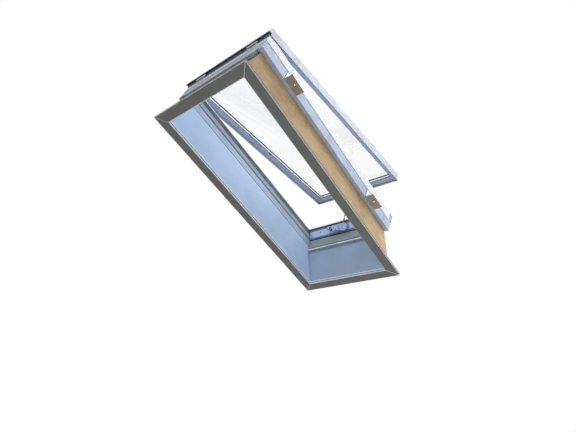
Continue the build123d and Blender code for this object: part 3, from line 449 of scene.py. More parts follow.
def makeGlass():
    # Clear glass with a faint film of dust; lamps shine through it
    material, tree, shader = newMaterial("clearGlass")
    where = objectPlace(tree)
    film = noise(tree, where, 5.0, 6.0, 0.65)
    specks = noise(tree, where, 240.0, 2.0, 0.5)
    cloudy = ramp(tree, film, 0.45, 0.75, 0.0, 0.35)
    tint = blendColours(tree, cloudy, colour((254, 255, 255)), colour((249, 252, 251)))
    smeared = ramp(tree, film, 0.55, 0.8, 0.0, 0.02)
    rough = sums(tree, "ADD", smeared, ramp(tree, specks, 0.66, 0.74, 0.0, 0.05))
    connect(tree, shader, {"Base Color": tint, "Roughness": rough, "Transmission Weight": 1.0, "IOR": 1.45})
    clear = place(tree, "ShaderNodeBsdfTransparent", {"Color": (0.93, 0.96, 0.95, 1)})
    lamp = place(tree, "ShaderNodeLightPath").outputs["Is Shadow Ray"]
    either = place(tree, "ShaderNodeMixShader", {0: lamp, 1: shader.outputs[0], 2: clear.outputs[0]})
    connect(tree, tree.nodes["Material Output"], {"Surface": either.outputs[0]})
    return material


clearGlass = makeGlass()
print("materials ready:", len(bpy.data.materials))


# Shapes

def evenTurns(count):
    return np.linspace(0, 2 * np.pi, count, endpoint=False)


def gridFaces(rows, columns):
    # Four-sided faces between neighbouring rows of a grid of points whose columns close into rings
    row, column = np.meshgrid(np.arange(rows - 1), np.arange(columns), indexing="ij")
    beside = (column + 1) % columns
    quads = np.stack([row * columns + column, row * columns + beside,
                      (row + 1) * columns + beside, (row + 1) * columns + column], axis=-1)
    return quads.reshape(-1, 4)


def capped(rows, columns):
    # The faces of a closed tube of rows rings, with a flat end at each side
    faces = gridFaces(rows, columns).tolist()
    return faces + [list(range(columns)), list(range((rows - 1) * columns, rows * columns))]


def addObject(name, data):
    made = bpy.data.objects.new(name, data)
    bpy.context.scene.collection.objects.link(made)
    return made


def setMaterials(mesh, materials):
    mesh.materials.clear()
    for material in materials:
        mesh.materials.append(material)


def makePiece(name, points, faces, materials, body, stands, slotName, smooth=0.6, finish=None):
    # A mesh from points and faces, with its normals turned outwards; finish numbers each face's material
    mesh = bpy.data.meshes.new(name)
    setMaterials(mesh, materials)
    mesh.from_pydata(np.asarray(points).tolist(), [], faces)
    if finish is not None:
        mesh.polygons.foreach_set("material_index", np.asarray(finish, np.int32))
    work = bmesh.new()
    work.from_mesh(mesh)
    bmesh.ops.remove_doubles(work, verts=work.verts, dist=1e-7)
    bmesh.ops.recalc_face_normals(work, faces=work.faces)
    work.to_mesh(mesh)
    work.free()
    mesh.shade_smooth()
    mesh.set_sharp_from_angle(angle=smooth)
    piece = addObject(name, mesh)
    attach(piece, body)
    if stands:
        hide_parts(*stands)
    return piece


def pieceName(node):
    first, *rest = node.split("_")
    return first + "".join(word.capitalize() for word in rest)


def easedCopy(node, materials, width, slotName, finishOf=None, edgeFinish=-1):
    # A merged copy of a CAD node whose sharp edges are rounded over the width; finishOf turns the middles and
    # normals of the faces into the numbers of their materials, and edgeFinish is the number for the roundings
    source = nodes[node]
    mesh = source.data.copy()
    mesh.name = pieceName(node)
    setMaterials(mesh, materials)
    work = bmesh.new()
    work.from_mesh(mesh)
    bmesh.ops.remove_doubles(work, verts=work.verts, dist=1e-6)
    bmesh.ops.dissolve_limit(work, angle_limit=np.radians(1.0), verts=work.verts, edges=work.edges)
    work.to_mesh(mesh)
    work.free()
    mesh.shade_flat()
    if finishOf:
        middle, normal = np.empty((2, len(mesh.polygons) * 3))
        mesh.polygons.foreach_get("center", middle)
        mesh.polygons.foreach_get("normal", normal)
        finish = finishOf(middle.reshape(-1, 3), normal.reshape(-1, 3))
        mesh.polygons.foreach_set("material_index", finish.astype(np.int32))
    piece = addObject(pieceName(node), mesh)
    rounding = piece.modifiers.new("rounding", "BEVEL")
    rounding.width = width
    rounding.segments = 2
    rounding.material = edgeFinish
    rounding.limit_method = "ANGLE"
    rounding.angle_limit = np.radians(35.0)
    rounding.harden_normals = True
    rounding.use_clamp_overlap = True
    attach(piece, source["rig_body"])
    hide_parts(node)


def repeatShape(points, faces, shifts):
    # The same shape once at each shift: all shifts added to all points at once
    points, shifts = np.asarray(points, float), np.asarray(shifts, float)
    every = (shifts[:, None, :] + points[None, :, :]).reshape(-1, 3)
    numbered = [[corner + copy * len(points) for corner in face]
                for copy in range(len(shifts)) for face in faces]
    return every, numbered


def gather(*shapes):
    # Several (points, faces) shapes as one
    starts = np.cumsum([0] + [len(points) for points, faces in shapes[:-1]])
    points = np.concatenate([points for points, faces in shapes])
    faces = [[corner + int(start) for corner in face]
             for start, (_, shape) in zip(starts, shapes) for face in shape]
    return points, faces


def lathe(centre, axis, side, outline, columns=28):
    # Outline (reach, height) turned about the axis: centre + height axis + reach (cos a side + sin a across)
    axis, side = np.asarray(axis, float), np.asarray(side, float)
    across = np.cross(axis, side)
    reach, height = np.asarray(outline, float).T
    angle = evenTurns(columns)
    around = np.cos(angle)[:, None] * side + np.sin(angle)[:, None] * across
    points = centre + height[:, None, None] * axis + reach[:, None, None] * around
    return points.reshape(-1, 3), capped(len(reach), columns)


def turnedOpen(points):
    # Points of the closed sash turned about the hinge line: y and z rotate by the opening angle
    c, s = np.cos(openAngle), np.sin(openAngle)
    y, z = (points - hingePoint)[..., 1], (points - hingePoint)[..., 2]
    turned = np.stack([(points - hingePoint)[..., 0], y * c + z * s, z * c - y * s], axis=-1)
    return turned + hingePoint


# The sloping face of the sill: x to the right as seen from the room, s up the face and n out of it, all three
# in millimetres from its foot
sillFoot = np.array([-0.011, -0.5066, 0.2524])
sillRight = np.array([-1.0, 0.0, 0.0])
pitch = np.radians(33.69)
sillUp = np.array([0.0, np.sin(pitch), np.cos(pitch)])
sillOut = np.array([0.0, np.cos(pitch), -np.sin(pitch)])


def onSill(x, s, n):
    x, s, n = np.broadcast_arrays(np.asarray(x, float), s, n)
    return sillFoot + (x[..., None] * sillRight + s[..., None] * sillUp + n[..., None] * sillOut) / 1000


# Sill: a plumb face painted brighter as painted light, over a groove painted dark as painted shadow and a
# lower band painted greyer as painted shade; heights of the groove
sill = {"grooveLow": 0.2453, "grooveHigh": 0.2525, "front": -0.5120, "edge": 0.0010}


def makeSill():
    # Number of the finish: 0 above the groove, 1 in the groove, 2 on the band below it, 3 outside; 0 to 2 are
    # lit and shaded copies of one paint
    def finishOf(middle, normal):
        inner = (middle[:, 1] > sill["front"]) | (normal[:, 2] < -0.9)
        height = middle[:, 2]
        return np.select([~inner, height < sill["grooveLow"], height < sill["grooveHigh"]], [3, 2, 1], 0)

    easedCopy("frame_sill", [sillPaint, grooveShadowPaint, shadedLowerBandPaint, frameAlongX], sill["edge"],
              "frame_paint", finishOf)


# Nosing under the sill: a round bead below a shallow upper face
nosing = {"halfWidth": 0.257, "low": 0.174, "high": 0.200, "back": -0.5420, "beadY": -0.5215,
          "beadZ": 0.1815, "beadRadius": 0.0052, "beadArc": (-75, 105), "beadSteps": 15, "footY": -0.5330,
          "footZ": 0.1765, "quirkY": -0.5245, "quirkRise": 0.0008, "faceLowY": -0.5195, "faceRise": 0.0022,
          "faceHighY": -0.5165, "eased": 0.0005}


def makeNosing():
    # The outline (y, z) is carried along X; the bead is the arc centre + radius (cos a, sin a)
    angle = np.radians(np.linspace(*nosing["beadArc"], nosing["beadSteps"]))
    bead = np.column_stack([nosing["beadY"] + nosing["beadRadius"] * np.cos(angle),
                            nosing["beadZ"] + nosing["beadRadius"] * np.sin(angle)])
    top = nosing["beadZ"] + nosing["beadRadius"]
    face, high, eased = nosing["faceHighY"], nosing["high"], nosing["eased"]
    before = [[nosing["back"], nosing["low"]], [nosing["footY"], nosing["low"]],
              [nosing["footY"], nosing["footZ"]]]
    after = [[nosing["quirkY"], top + nosing["quirkRise"]], [nosing["faceLowY"], top + nosing["faceRise"]],
             [face, high - eased], [face - eased, high], [nosing["back"], high]]
    outline = np.concatenate([before, bead, after])
    along = np.array([-nosing["halfWidth"], nosing["halfWidth"]])
    points = np.empty((2, len(outline), 3))
    points[..., 0] = along[:, None]
    points[..., 1:] = outline
    # Finish: 1 on the bead between its first and last points, in the bright paint as painted highlight, 2 on
    # the back, 0 elsewhere and at the ends
    side = np.arange(len(outline))
    onBead = (side >= len(before)) & (side < len(before) + len(bead) - 1)
    finish = np.select([onBead, side == len(outline) - 1], [1, 2], 0).tolist() + [0, 0]
    makePiece("sillNosing", points.reshape(-1, 3), capped(2, len(outline)),
              [nosingPaint, beadPaint, timberAlongX], "frame", ["sill_nosing"], "frame_paint", finish=finish)


# Cover of the chain operator: a tear-drop between two circles, in millimetres on the sill
cover = {"largeX": -1.0, "largeS": 28.5, "largeRadius": 24.5, "smallX": -108.0, "smallS": 41.0,
         "smallRadius": 11.5, "foot": 2.5, "middle": 15.0, "top": 26.0, "wallInset": (0, 0.3, 0.6),
         "shoulder": 6.0, "shoulderRings": 9, "shoulderDrop": 0.4, "topInset": (9.0, 9.0, 9.0),
         "topHeight": (25.9, 26.0, 26.0), "topShrink": (0.0, 0.5, 1.0), "draft": 0.8, "wall": 2.2,
         "wormX": -77.0, "wormS": 25.5, "bulge": 3.6, "bulgeWidth": 8.0, "bulgeTop": 31.5, "slotHalf": 4.5,
         "slotLow": 9.7, "slotHigh": 19.8, "directions": 96, "straightGap": 20.0, "straightSteps": 29}


def coverOutline(angle, inset, shrink):
    # For each direction, the circle that reaches furthest gives
    # centre + (radius - inset)(1 - shrink) direction
    direction = np.stack([np.cos(angle), np.sin(angle)], axis=-1)
    centres = np.array([[cover["largeX"], cover["largeS"]], [cover["smallX"], cover["smallS"]]])
    radii = np.array([cover["largeRadius"], cover["smallRadius"]])
    furthest = np.argmax(direction @ centres.T + radii, axis=-1)
    reach = (radii[furthest] - inset) * (1 - shrink)
    return centres[furthest] + reach[..., None] * direction


def coverAngles():
    # Even directions, the edges of the chain's slot, and both sides of the directions where the larger circle
    # gives way to the smaller: lean of the line between centres, plus and minus
    # arccos(difference of radii / distance)
    apart = np.array([cover["smallX"] - cover["largeX"], cover["smallS"] - cover["largeS"]])
    tangent = np.arccos((cover["largeRadius"] - cover["smallRadius"]) / np.hypot(*apart))
    switches = np.arctan2(apart[1], apart[0]) + np.array([tangent, -tangent])
    slotEdges = np.arccos((np.array([1, -1]) * cover["slotHalf"] - cover["largeX"]) / cover["largeRadius"])
    even = evenTurns(cover["directions"])
    ends = np.concatenate([switches - 1e-4, switches + 1e-4]) % (2 * np.pi)
    return np.unique(np.concatenate([even, slotEdges, ends]))


def coverRings():
    # Inset, height and shrink of each ring: up the wall, round the shoulder (1 - cos, sin) and over the top
    turn = np.linspace(0, np.pi / 2, cover["shoulderRings"])
    rounded = cover["draft"] + cover["shoulder"] * (1 - np.cos(turn))
    raised = cover["top"] - cover["shoulder"] + cover["shoulder"] * np.sin(turn) - cover["shoulderDrop"]
    raised[0] = cover["slotHigh"]
    inset = np.concatenate([cover["wallInset"], rounded, cover["topInset"]])
    wallHeight = [cover["foot"], cover["slotLow"], cover["middle"]]
    height = np.concatenate([wallHeight, raised, cover["topHeight"]])
    shrink = np.concatenate([np.zeros(len(wallHeight) + len(turn)), cover["topShrink"]])
    return inset, height, shrink


def makeCover():
    inset, height, shrink = coverRings()
    flat = coverOutline(coverAngles()[None, :], inset[:, None], shrink[:, None])
    # Points spread along the straight sides between the circles: (1 - share) this column + share the next
    after = np.roll(flat, -1, axis=1)
    gap = np.linalg.norm(after[0] - flat[0], axis=-1)
    steps = np.where(gap > cover["straightGap"], cover["straightSteps"], 1)
    column = np.repeat(np.arange(len(gap)), steps)
    starts = np.repeat(np.cumsum(steps) - steps, steps)
    share = ((np.arange(len(column)) - starts) / steps[column])[:, None]
    x, s = np.moveaxis((1 - share) * flat[:, column] + share * after[:, column], -1, 0)
    # Bulge below the worm: bulge exp(-((x - wormX) / bulgeWidth)^2), gone at the top of the shoulder
    belly = np.exp(-((x - cover["wormX"]) / cover["bulgeWidth"]) ** 2) * (s < cover["bulgeTop"])
    fade = np.clip(1 - shrink * 2, 0, 1) * np.clip(1 - (inset - cover["draft"]) / cover["shoulder"], 0, 1)
    s = s - cover["bulge"] * belly * fade[:, None]
    points = onSill(x, s, height[:, None])
    rows, width = x.shape
    # The slot for the chain is open in the two rows of faces between slotLow and slotHigh
    middle = (np.roll(x[0], -1) + x[0]) / 2
    upper = (np.roll(s[0], -1) + s[0]) / 2 > cover["largeS"]
    slot = np.flatnonzero((np.abs(middle) < cover["slotHalf"]) & upper)
    kept = np.ones((rows - 1, width), bool)
    kept[1:3, slot] = False
    faces = gridFaces(rows, width)[kept.reshape(-1)].tolist()
    piece = makePiece("operatorCover", points.reshape(-1, 3), faces, [castMetal], "frame",
                      ["operator_housing"], "operator_metal", smooth=0.9)
    wall = piece.modifiers.new("wall", "SOLIDIFY")
    wall.thickness = cover["wall"] / 1000
    wall.offset = -1
    wall.use_even_offset = True


# Collar that the crank's shaft comes out of, with a rounded rim: (reach, height) in millimetres
boss = {"outline": [[8.6, 25.6], [7.5, 26.2], [7.1, 27.2], [7.0, 28.5], [7.0, 30.2], [6.75, 30.75],
                    [6.2, 31.0], [3.6, 31.0], [3.6, 25.6]]}


def makeBoss():
    foot = onSill(cover["wormX"], cover["wormS"], 0.0)
    points, faces = lathe(foot, sillOut, sillRight, np.array(boss["outline"]) / 1000)
    makePiece("operatorBoss", points, faces, [bossMetal], "frame", [], "operator_metal")


# Crank: the worm, its shaft and the ring that a pole hooks into, in millimetres
crank = {"eyeAt": 46.5, "ringRadius": 9.5, "rod": 2.5, "ringSteps": 41, "rodSides": 16, "wormLow": 3.5,
         "wormHigh": 22.1, "core": 2.2, "crest": 3.1, "threads": 5, "starts": 2, "wormSteps": 61,
         "wormSides": 24,
         "shaftOutline": [[2.2, 21.8], [3.5, 22.1], [3.5, 31.3], [4.6, 31.4], [5.2, 31.9], [5.2, 33.0],
                          [4.6, 33.5], [3.6, 33.7], [3.3, 34.6], [3.4, 35.6], [3.9, 36.6], [2.0, 37.6]]}


def makeCrank():
    foot = onSill(cover["wormX"], cover["wormS"], 0.0)
    # Worm: reach = core + rise (1 + cos(2 pi threads share - starts a)) / 2, with share along its length
    height = np.linspace(crank["wormLow"], crank["wormHigh"], crank["wormSteps"])
    angle = evenTurns(crank["wormSides"])
    share = (height - crank["wormLow"]) / (crank["wormHigh"] - crank["wormLow"])
    wave = np.cos(2 * np.pi * crank["threads"] * share[:, None] - crank["starts"] * angle[None, :])
    reach = crank["core"] + (crank["crest"] - crank["core"]) * (1 + wave) / 2
    around = np.cos(angle)[:, None] * sillRight + np.sin(angle)[:, None] * np.cross(sillOut, sillRight)
    worm = foot + (height[:, None, None] * sillOut + reach[..., None] * around) / 1000
    wormShape = (worm.reshape(-1, 3), capped(len(height), len(angle)))
    # Shaft with a collar over the boss and a neck that widens into the ring
    shaftShape = lathe(foot, sillOut, sillRight, np.array(crank["shaftOutline"]) / 1000)
    # Ring: centre + (ringRadius + rod cos b)(cos a out + sin a up) + rod sin b right
    steps, sides = crank["ringSteps"], crank["rodSides"]
    a, b = np.meshgrid(np.linspace(0, 2 * np.pi, steps), evenTurns(sides), indexing="ij")
    reach = crank["ringRadius"] + crank["rod"] * np.cos(b)
    ring = onSill(cover["wormX"] + crank["rod"] * np.sin(b), cover["wormS"] + reach * np.sin(a),
                  crank["eyeAt"] + reach * np.cos(a))
    ringShape = (ring.reshape(-1, 3), gridFaces(steps, sides).tolist())
    points, faces = gather(wormShape, shaftShape, ringShape)
    makePiece("crankEye", points, faces, [darkSteel], "worm", ["worm_shaft"], "gear_steel", smooth=0.8)


# Push chain of 35 links of 9.524 mm: its ends at the sprocket and at the bracket's pin, with the sash open
# and closed, in metres, and the sizes of a link in millimetres
chain = {"start": (-0.011, -0.466566, 0.276244), "end": (-0.011, -0.421725, 0.606559),
         "closedEnd": (-0.011, -0.459, 0.3245), "count": 35, "footCount": 2, "plateRadius": 3.0,
         "plateSides": 18, "straightness": 1.7, "waist": 0.3, "plate": 0.8, "innerAt": 1.6, "outerAt": 2.5,
         "roller": 2.0, "rollerSides": 12, "pin": 1.1, "pinReach": 3.7, "pinSides": 10}


def plateShape(pitchLength, near):
    # Plate outline: along = half pitch clip(straightness cos a) + r cos a,
    # across = r sin a (1 - waist sin^4 a)
    a = evenTurns(chain["plateSides"])
    r = chain["plateRadius"]
    along = pitchLength / 2 * np.clip(chain["straightness"] * np.cos(a), -1, 1) + r * np.cos(a)
    over = r * np.sin(a) * (1 - chain["waist"] * np.sin(a) ** 4)
    sides = np.array([near, near + chain["plate"]])
    points = np.empty((2, len(a), 3))
    points[..., 0] = sides[:, None]
    points[..., 1], points[..., 2] = over, along
    return points.reshape(-1, 3), capped(2, len(a))


def rodShape(radius, half, sides):
    # A short rod across the chain
    a = evenTurns(sides)
    points = np.empty((2, sides, 3))
    points[..., 0] = np.array([-half, half])[:, None]
    points[..., 1], points[..., 2] = radius * np.cos(a), radius * np.sin(a)
    return points.reshape(-1, 3), capped(2, sides)


def chainLinks(name, first, last, stands):
    # The links from number first up to last; plates of odd links lie outside those of even links
    start, end = np.array(chain["start"]), np.array(chain["end"])
    length = np.linalg.norm(end - start)
    step = 1000 * length / chain["count"]
    index = np.arange(first, last)
    middles = np.column_stack([np.zeros((len(index), 2)), (index + 0.5) * step])
    ends = np.arange(first if first == 0 else first + 1, last + 1)
    joints = np.column_stack([np.zeros((len(ends), 2)), ends * step])
    pinned = joints[(ends > 0) & (ends < chain["count"])]
    shapes = []
    for parity, near in ((0, chain["innerAt"]), (1, chain["outerAt"])):
        for side in (near, -near - chain["plate"]):
            shapes.append(repeatShape(*plateShape(step, side), middles[index % 2 == parity]))
    roller = rodShape(chain["roller"], chain["innerAt"], chain["rollerSides"])
    pin = rodShape(chain["pin"], chain["pinReach"], chain["pinSides"])
    shapes += [repeatShape(*roller, joints), repeatShape(*pin, pinned)]
    points, faces = gather(*shapes)
    up = (end - start) / length
    across = np.array([1.0, 0.0, 0.0])
    turned = np.array([across, np.cross(up, across), up])
    return makePiece(name, start + points / 1000 @ turned, faces, [chainSteel], "frame", stands,
                     "chain_steel")


def makeChain():
    # The two links at the sprocket make one piece, and the other links a second piece with a mesh of its own
    chainLinks("pushChainFoot", 0, chain["footCount"], [])
    moving = chainLinks("pushChain", chain["footCount"], chain["count"], ["chain"])
    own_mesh(moving)


# Spacer between the panes of the closed sash: bright metal with a dark band of sealant above and below
spacer = {"halfWidth": 0.279, "low": -0.5163, "high": 0.6485, "bottom": 0.3359, "height": 0.014,
          "width": 0.008, "sealantLow": 0.0005, "metalHigh": 0.0096, "step": 0.0006}


def makeSpacer():
    # The outline (inset, height) is carried round the four corners of the glass, its inset towards the middle
    low, high, deep, step = spacer["sealantLow"], spacer["metalHigh"], spacer["width"], spacer["step"]
    outline = np.array([[0, 0], [deep - step, 0], [deep - step, low], [deep, low + step], [deep, high - step],
                        [deep - step, high], [deep - step, spacer["height"]], [0, spacer["height"]]])
    inset, height = outline.T
    across = np.array([-1, 1, 1, -1, -1])[:, None] * (spacer["halfWidth"] - inset)
    up = np.array([0, 0, 1, 1, 0])[:, None]
    along = np.where(up == 0, spacer["low"] + inset, spacer["high"] - inset)
    points = np.stack([across, along, np.broadcast_to(spacer["bottom"] + height, across.shape)], axis=-1)
    faces = gridFaces(len(up), len(outline)).tolist()
    # Finish: 1 on the two sides of the outline that are sealant, the same along all four lengths
    finish = np.tile([0, 1, 0, 0, 0, 1, 0, 0], len(up) - 1)
    makePiece("glassSpacer", turnedOpen(points).reshape(-1, 3), faces, [spacerMetal, tapeRubber], "sash",
              ["glass_spacer"], "spacer_aluminium", finish=finish)


# Pan-head screws with a cross recess, in millimetres; the turns and reaches are the points of the head's grid
panHead = {"radius": 4.5, "height": 2.4, "domeWidth": 1.05, "recess": 1.3, "arm": 2.7, "armHalf": 0.55,
           "shankShare": 0.4, "shankDepth": 3.0, "turns": [0, 11, 14, 30, 45, 60, 76, 79],
           "reaches": [0.02, 1.0, 2.0, 2.7, 2.8, 3.6, 4.2, 4.5]}

# Where the screws stand: on the sill in its millimetres, elsewhere in metres
screws = {"sillMiddle": -11.0, "sillX": 174.0, "sillS": 37.0, "bracketX": 0.2985, "bracketY": (0.447, -0.313),
          "bracketZ": 0.2336, "bracketStep": 0.03, "hingeX": 0.185, "hingeY": 0.672, "hingeStep": 0.02825,
          "frameLeafZ": 0.29825, "sashLeafZ": 0.33775}


def screwHead(plane, normal, side):
    # Dome: height sqrt(1 - (reach / (domeWidth radius))^2), lowered by the recess inside the cross
    normal, side = np.asarray(normal, float), np.asarray(side, float)
    across = np.cross(normal, side)
    quarters = np.arange(4)[:, None] * np.pi / 2
    angle = (np.radians(panHead["turns"]) + quarters).reshape(-1)
    r, a = np.meshgrid(panHead["reaches"], angle, indexing="ij")
    dome = panHead["height"] * np.sqrt(1 - (r / (panHead["domeWidth"] * panHead["radius"])) ** 2)
    offAxis = np.minimum(np.abs(r * np.sin(a)), np.abs(r * np.cos(a)))
    inCross = (offAxis < panHead["armHalf"]) & (r <= panHead["arm"])
    dome = dome - panHead["recess"] * inCross
    local = np.stack([r * np.cos(a), r * np.sin(a), dome], axis=-1)
    rim = np.stack([np.cos(angle), np.sin(angle), np.zeros(len(angle))], axis=-1)[None] * panHead["radius"]
    shank = rim * panHead["shankShare"] - [0, 0, panHead["shankDepth"]]
    local = np.concatenate([local, rim, shank])
    points = plane + (local[..., :1] * side + local[..., 1:2] * across + local[..., 2:] * normal) / 1000
    return points.reshape(-1, 3), capped(len(local), len(angle))


def makeScrews():
    feet = [onSill(screws["sillMiddle"] + side * screws["sillX"], screws["sillS"], 0.0) for side in (-1, 1)]
    onSillFace = [screwHead(foot, sillOut, sillUp) for foot in feet]
    makePiece("sillScrews", *gather(*onSillFace), [darkSteel], "frame", ["sill_screws"], "screw_steel")
    onBrackets = [screwHead([side * screws["bracketX"], y + way * screws["bracketStep"], screws["bracketZ"]],
                            [side, 0, 0], [0, 0, 1])
                  for side in (-1, 1) for y in screws["bracketY"] for way in (-1, 1)]
    makePiece("bracketScrews", *gather(*onBrackets), [zincSteel], "frame", ["bracket_screws"], "screw_steel")
    for name, node, body, z in (("hingeScrewsFrame", "hinge_screws_frame", "frame", screws["frameLeafZ"]),
                                ("hingeScrewsSash", "hinge_screws_sash", "sash", screws["sashLeafZ"])):
        heads = [screwHead([hinge * screws["hingeX"] + way * screws["hingeStep"], screws["hingeY"], z],
                           [0, 1, 0], [0, 0, 1])
                 for hinge in (-1, 1) for way in (-1, 1)]
        points, faces = gather(*heads)
        points = turnedOpen(points) if body == "sash" else points
        makePiece(name, points, faces, [zincSteel], body, [node], "screw_steel")


# Finishes of the copied nodes, told apart by where a face lies and which way it looks

def facesOpening(middle, normal):
    return ((normal[:, :2] * middle[:, :2]).sum(axis=1) < -0.1) & (np.abs(normal[:, 2]) < 0.6)


def casingFinish(middle, normal):
    # 0 on the front and the outer edge, in the paint written grey as painted shade; 1 on the edge at the
    # opening, in the same paint written bright as painted light; 2 on the back
    return np.where(normal[:, 2] > 0.9, 2, np.where(facesOpening(middle, normal), 1, 0))


def liningFinish(middle, normal):
    # 0 to the opening and on the front edge, 1 on the back and the ends
    return np.where(facesOpening(middle, normal) | (normal[:, 2] < -0.9), 0, 1)


# Side and head members: the heights of their groove, and how far out their inner faces can lie
sideMember = {"grooveLow": 0.2450, "grooveHigh": 0.2570, "innerX": 0.2640, "innerY": 0.6600, "slack": 1e-4}


def frameFinish(middle, normal):
    # 0 on the lower band and outside, 1 in the groove, 2 on the band above it; 1 and 2 take darker copies of
    # the paint as painted shade
    height, slack = middle[:, 2], sideMember["slack"]
    inner = (np.abs(middle[:, 0]) < sideMember["innerX"]) & (np.abs(middle[:, 1]) < sideMember["innerY"])
    groove = (height > sideMember["grooveLow"] - slack) & (height < sideMember["grooveHigh"] + slack)
    return np.select([inner & groove, inner & (height > sideMember["grooveHigh"])], [1, 2], 0)


def sashFinish(middle, normal):
    # 0 on the faces seen from the room, 1 on the narrow faces round the glass, which take the darker copy of
    # the paint as painted shade
    return np.where(facesOpening(middle, normal), 1, 0)


# CAD nodes that keep their own mesh
plainNodes = {
    "pane_inner": clearGlass, "pane_outer": clearGlass,
    "glazing_tape_inner": tapeRubber, "glazing_tape_outer": tapeRubber,
    "bulb_seal": sealRubber, "chain_sprocket": gearSteel, "drive_shaft": gearSteel,
    "worm_wheel": gearSteel, "operator_screws": zincSteel, "sash_bracket_screws": zincSteel,
    "sash_bracket_pin": zincSteel}
for node, material in plainNodes.items():
    setMaterials(nodes[node].data, [material])

# Nodes whose edges are rounded over: nodes, materials, width and the record's slot. Then, where needed, how
# faces are told apart and the number of the rounding's material, which is else that of the face beside it
casingX = [shadedCasingAlongX, litCasingEdgeAlongX, timberAlongX]
casingY = [shadedCasingAlongY, litCasingEdgeAlongY, timberAlongY]
frameX = [frameAlongX, shadedSideGrooveAlongX, shadedUpperAlongX]
frameY = [frameAlongY, shadedSideGrooveAlongY, shadedUpperAlongY]
easedNodes = [
    # The casing's roundings take finish 1, the bright copy: painted highlights on the arrises
    (["casing_left", "casing_right"], casingY, 0.0016, "casing_paint", casingFinish, 1),
    (["casing_head", "casing_sill"], casingX, 0.0016, "casing_paint", casingFinish, 1),
    (["lining_left", "lining_right"], [liningAlongY, timberAlongY], 0.0008, "lining_paint", liningFinish),
    (["lining_head"], [liningAlongX, timberAlongX], 0.0008, "lining_paint", liningFinish),
    (["lining_sill"], [liningSillPaint, timberAlongX], 0.0008, "lining_paint", liningFinish),
    (["frame_left", "frame_right"], frameY, 0.0012, "frame_paint", frameFinish),
    (["frame_head"], frameX, 0.0012, "frame_paint", frameFinish),
    (["sash_stile_left", "sash_stile_right"], [sashAlongY, shadedRebateAlongY], 0.0012,
     "sash_paint", sashFinish),
    (["sash_rail_head", "sash_rail_bottom"], [sashAlongX, shadedRebateAlongX], 0.0012,
     "sash_paint", sashFinish),
    (["frame_seal_left", "frame_seal_right", "frame_seal_head", "frame_seal_sill"], [sealRubber], 0.0015,
     "seal_rubber"),
    (["frame_cap_left", "frame_cap_right", "frame_cap_head", "frame_cap_sill"], [capMetal], 0.0004,
     "cap_aluminium"),
    (["sash_cover_left", "sash_cover_right", "sash_cover_head", "sash_cover_bottom"], [coverMetal], 0.0004,
     "cover_aluminium"),
    (["bracket_upper_left", "bracket_lower_left", "bracket_upper_right", "bracket_lower_right"], [zincSteel],
     0.0003, "bracket_steel"),
    (["hinge_frame_leaf_left", "hinge_frame_leaf_right", "hinge_sash_leaf_left", "hinge_sash_leaf_right",
      "hinge_pin_left", "hinge_pin_right"], [zincSteel], 0.0003, "hinge_steel"),
    (["operator_base"], [baseMetal], 0.0004, "operator_dark"),
    (["sash_bracket"], [zincSteel], 0.0004, "hinge_steel")]
for names, *settings in easedNodes:
    for node in names:
        easedCopy(node, *settings)
makeSill()
makeNosing()
makeCover()
makeBoss()
makeCrank()
makeChain()
makeSpacer()
makeScrews()


# Floor, light and camera
studio = {"floorDepth": -2.4, "floorSize": 14.0, "floorPaleness": 0.6, "floorGrey": (0.82, 0.82, 0.82, 1),
          "ambient": 0.2}
white = (1, 1, 1, 1)

# Lamps: where each one hangs, what it points at, its width and its power
lamps = {
    "skyLamp": ((-1.1, -0.3, 3.0), (0.0, 0.0, 0.2), 2.8, 90.0),
    "slopeLamp": ((-0.6, 2.9, 1.9), (0.0, -0.5, 0.2), 2.2, 44.0),
    "gapLamp": ((-1.2, -2.1, 0.9), (0.2, -0.3, 0.3), 1.2, 30.0),
    "roomLamp": ((-1.5, -0.3, -2.1), (0.0, -0.2, 0.1), 2.6, 34.0)}


def seenRays(tree):
    # 1 for what the camera, a reflection or the glass shows, 0 for what lights the object
    path = place(tree, "ShaderNodeLightPath").outputs
    seen = sums(tree, "MAXIMUM", path["Is Camera Ray"], path["Is Glossy Ray"])
    return sums(tree, "MAXIMUM", seen, path["Is Transmission Ray"])


def makeFloor():
    half = studio["floorSize"] / 2
    corners = np.array([[-half, -half], [half, -half], [half, half], [-half, half]])
    points = np.column_stack([corners, np.full(4, studio["floorDepth"])])
    mesh = bpy.data.meshes.new("studioFloor")
    mesh.from_pydata(points.tolist(), [], [[0, 1, 2, 3]])
    floor = addObject("studioFloor", mesh)
    material, tree, shader = newMaterial("floorPaint")
    connect(tree, shader, {"Base Color": studio["floorGrey"], "Roughness": 0.8})
    pale = place(tree, "ShaderNodeEmission", {"Color": white, "Strength": 1.0})
    share = times(tree, seenRays(tree), studio["floorPaleness"])
    either = place(tree, "ShaderNodeMixShader", {0: share, 1: shader.outputs[0], 2: pale.outputs[0]})
    connect(tree, tree.nodes["Material Output"], {"Surface": either.outputs[0]})
    setMaterials(mesh, [material])


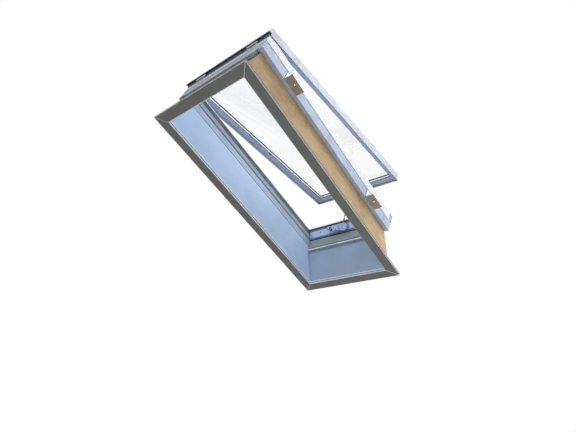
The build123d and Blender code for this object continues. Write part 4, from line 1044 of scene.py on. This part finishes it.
def makeLamp(name, location, target, size, power):
    lamp = bpy.data.lights.new(name, "AREA")
    lamp.shape = "SQUARE"
    lamp.size = size
    lamp.energy = power
    holder = addObject(name, lamp)
    back = np.array(location, float) - np.array(target, float)
    back /= np.linalg.norm(back)
    side = np.cross([0.0, 1.0, 0.0] if abs(back[1]) < 0.9 else [1.0, 0.0, 0.0], back)
    side /= np.linalg.norm(side)
    turned = np.column_stack([side, np.cross(back, side), back])
    holder.matrix_world = Matrix.Translation(location) @ Matrix(turned.tolist()).to_4x4()
    holder.visible_camera = False
    holder.visible_transmission = False


def makeWorld():
    world = bpy.data.worlds.new("studioWorld")
    bpy.context.scene.world = world
    world.use_nodes = True
    tree = world.node_tree
    tree.nodes.clear()
    bright = place(tree, "ShaderNodeBackground", {"Color": white, "Strength": 1.0})
    dim = place(tree, "ShaderNodeBackground", {"Color": white, "Strength": studio["ambient"]})
    either = place(tree, "ShaderNodeMixShader", {0: seenRays(tree), 1: dim.outputs[0], 2: bright.outputs[0]})
    place(tree, "ShaderNodeOutputWorld", {"Surface": either.outputs[0]})


# Where the photograph was taken from: the room, below the lower right of the window
viewpoint = {
    "location": (-1.3867, 0.9794, -1.5748), "right": (-0.76559, -0.56530, 0.30709),
    "up": (-0.23413, 0.68945, 0.68545), "back": (-0.59921, 0.45288, -0.66019), "lens": 27.95,
    "sensor": 36.0, "nearest": 0.05, "furthest": 60.0}


def makeCamera():
    camera = bpy.data.cameras.new("viewCamera")
    camera.lens = viewpoint["lens"]
    camera.sensor_width = viewpoint["sensor"]
    camera.clip_start, camera.clip_end = viewpoint["nearest"], viewpoint["furthest"]
    holder = addObject("viewCamera", camera)
    turned = np.column_stack([viewpoint["right"], viewpoint["up"], viewpoint["back"]])
    holder.matrix_world = Matrix.Translation(viewpoint["location"]) @ Matrix(turned.tolist()).to_4x4()
    bpy.context.scene.camera = holder


makeFloor()
makeWorld()
for name, settings in lamps.items():
    makeLamp(name, *settings)
makeCamera()
bpy.context.scene.view_settings.view_transform = "Standard"
print("studio ready")
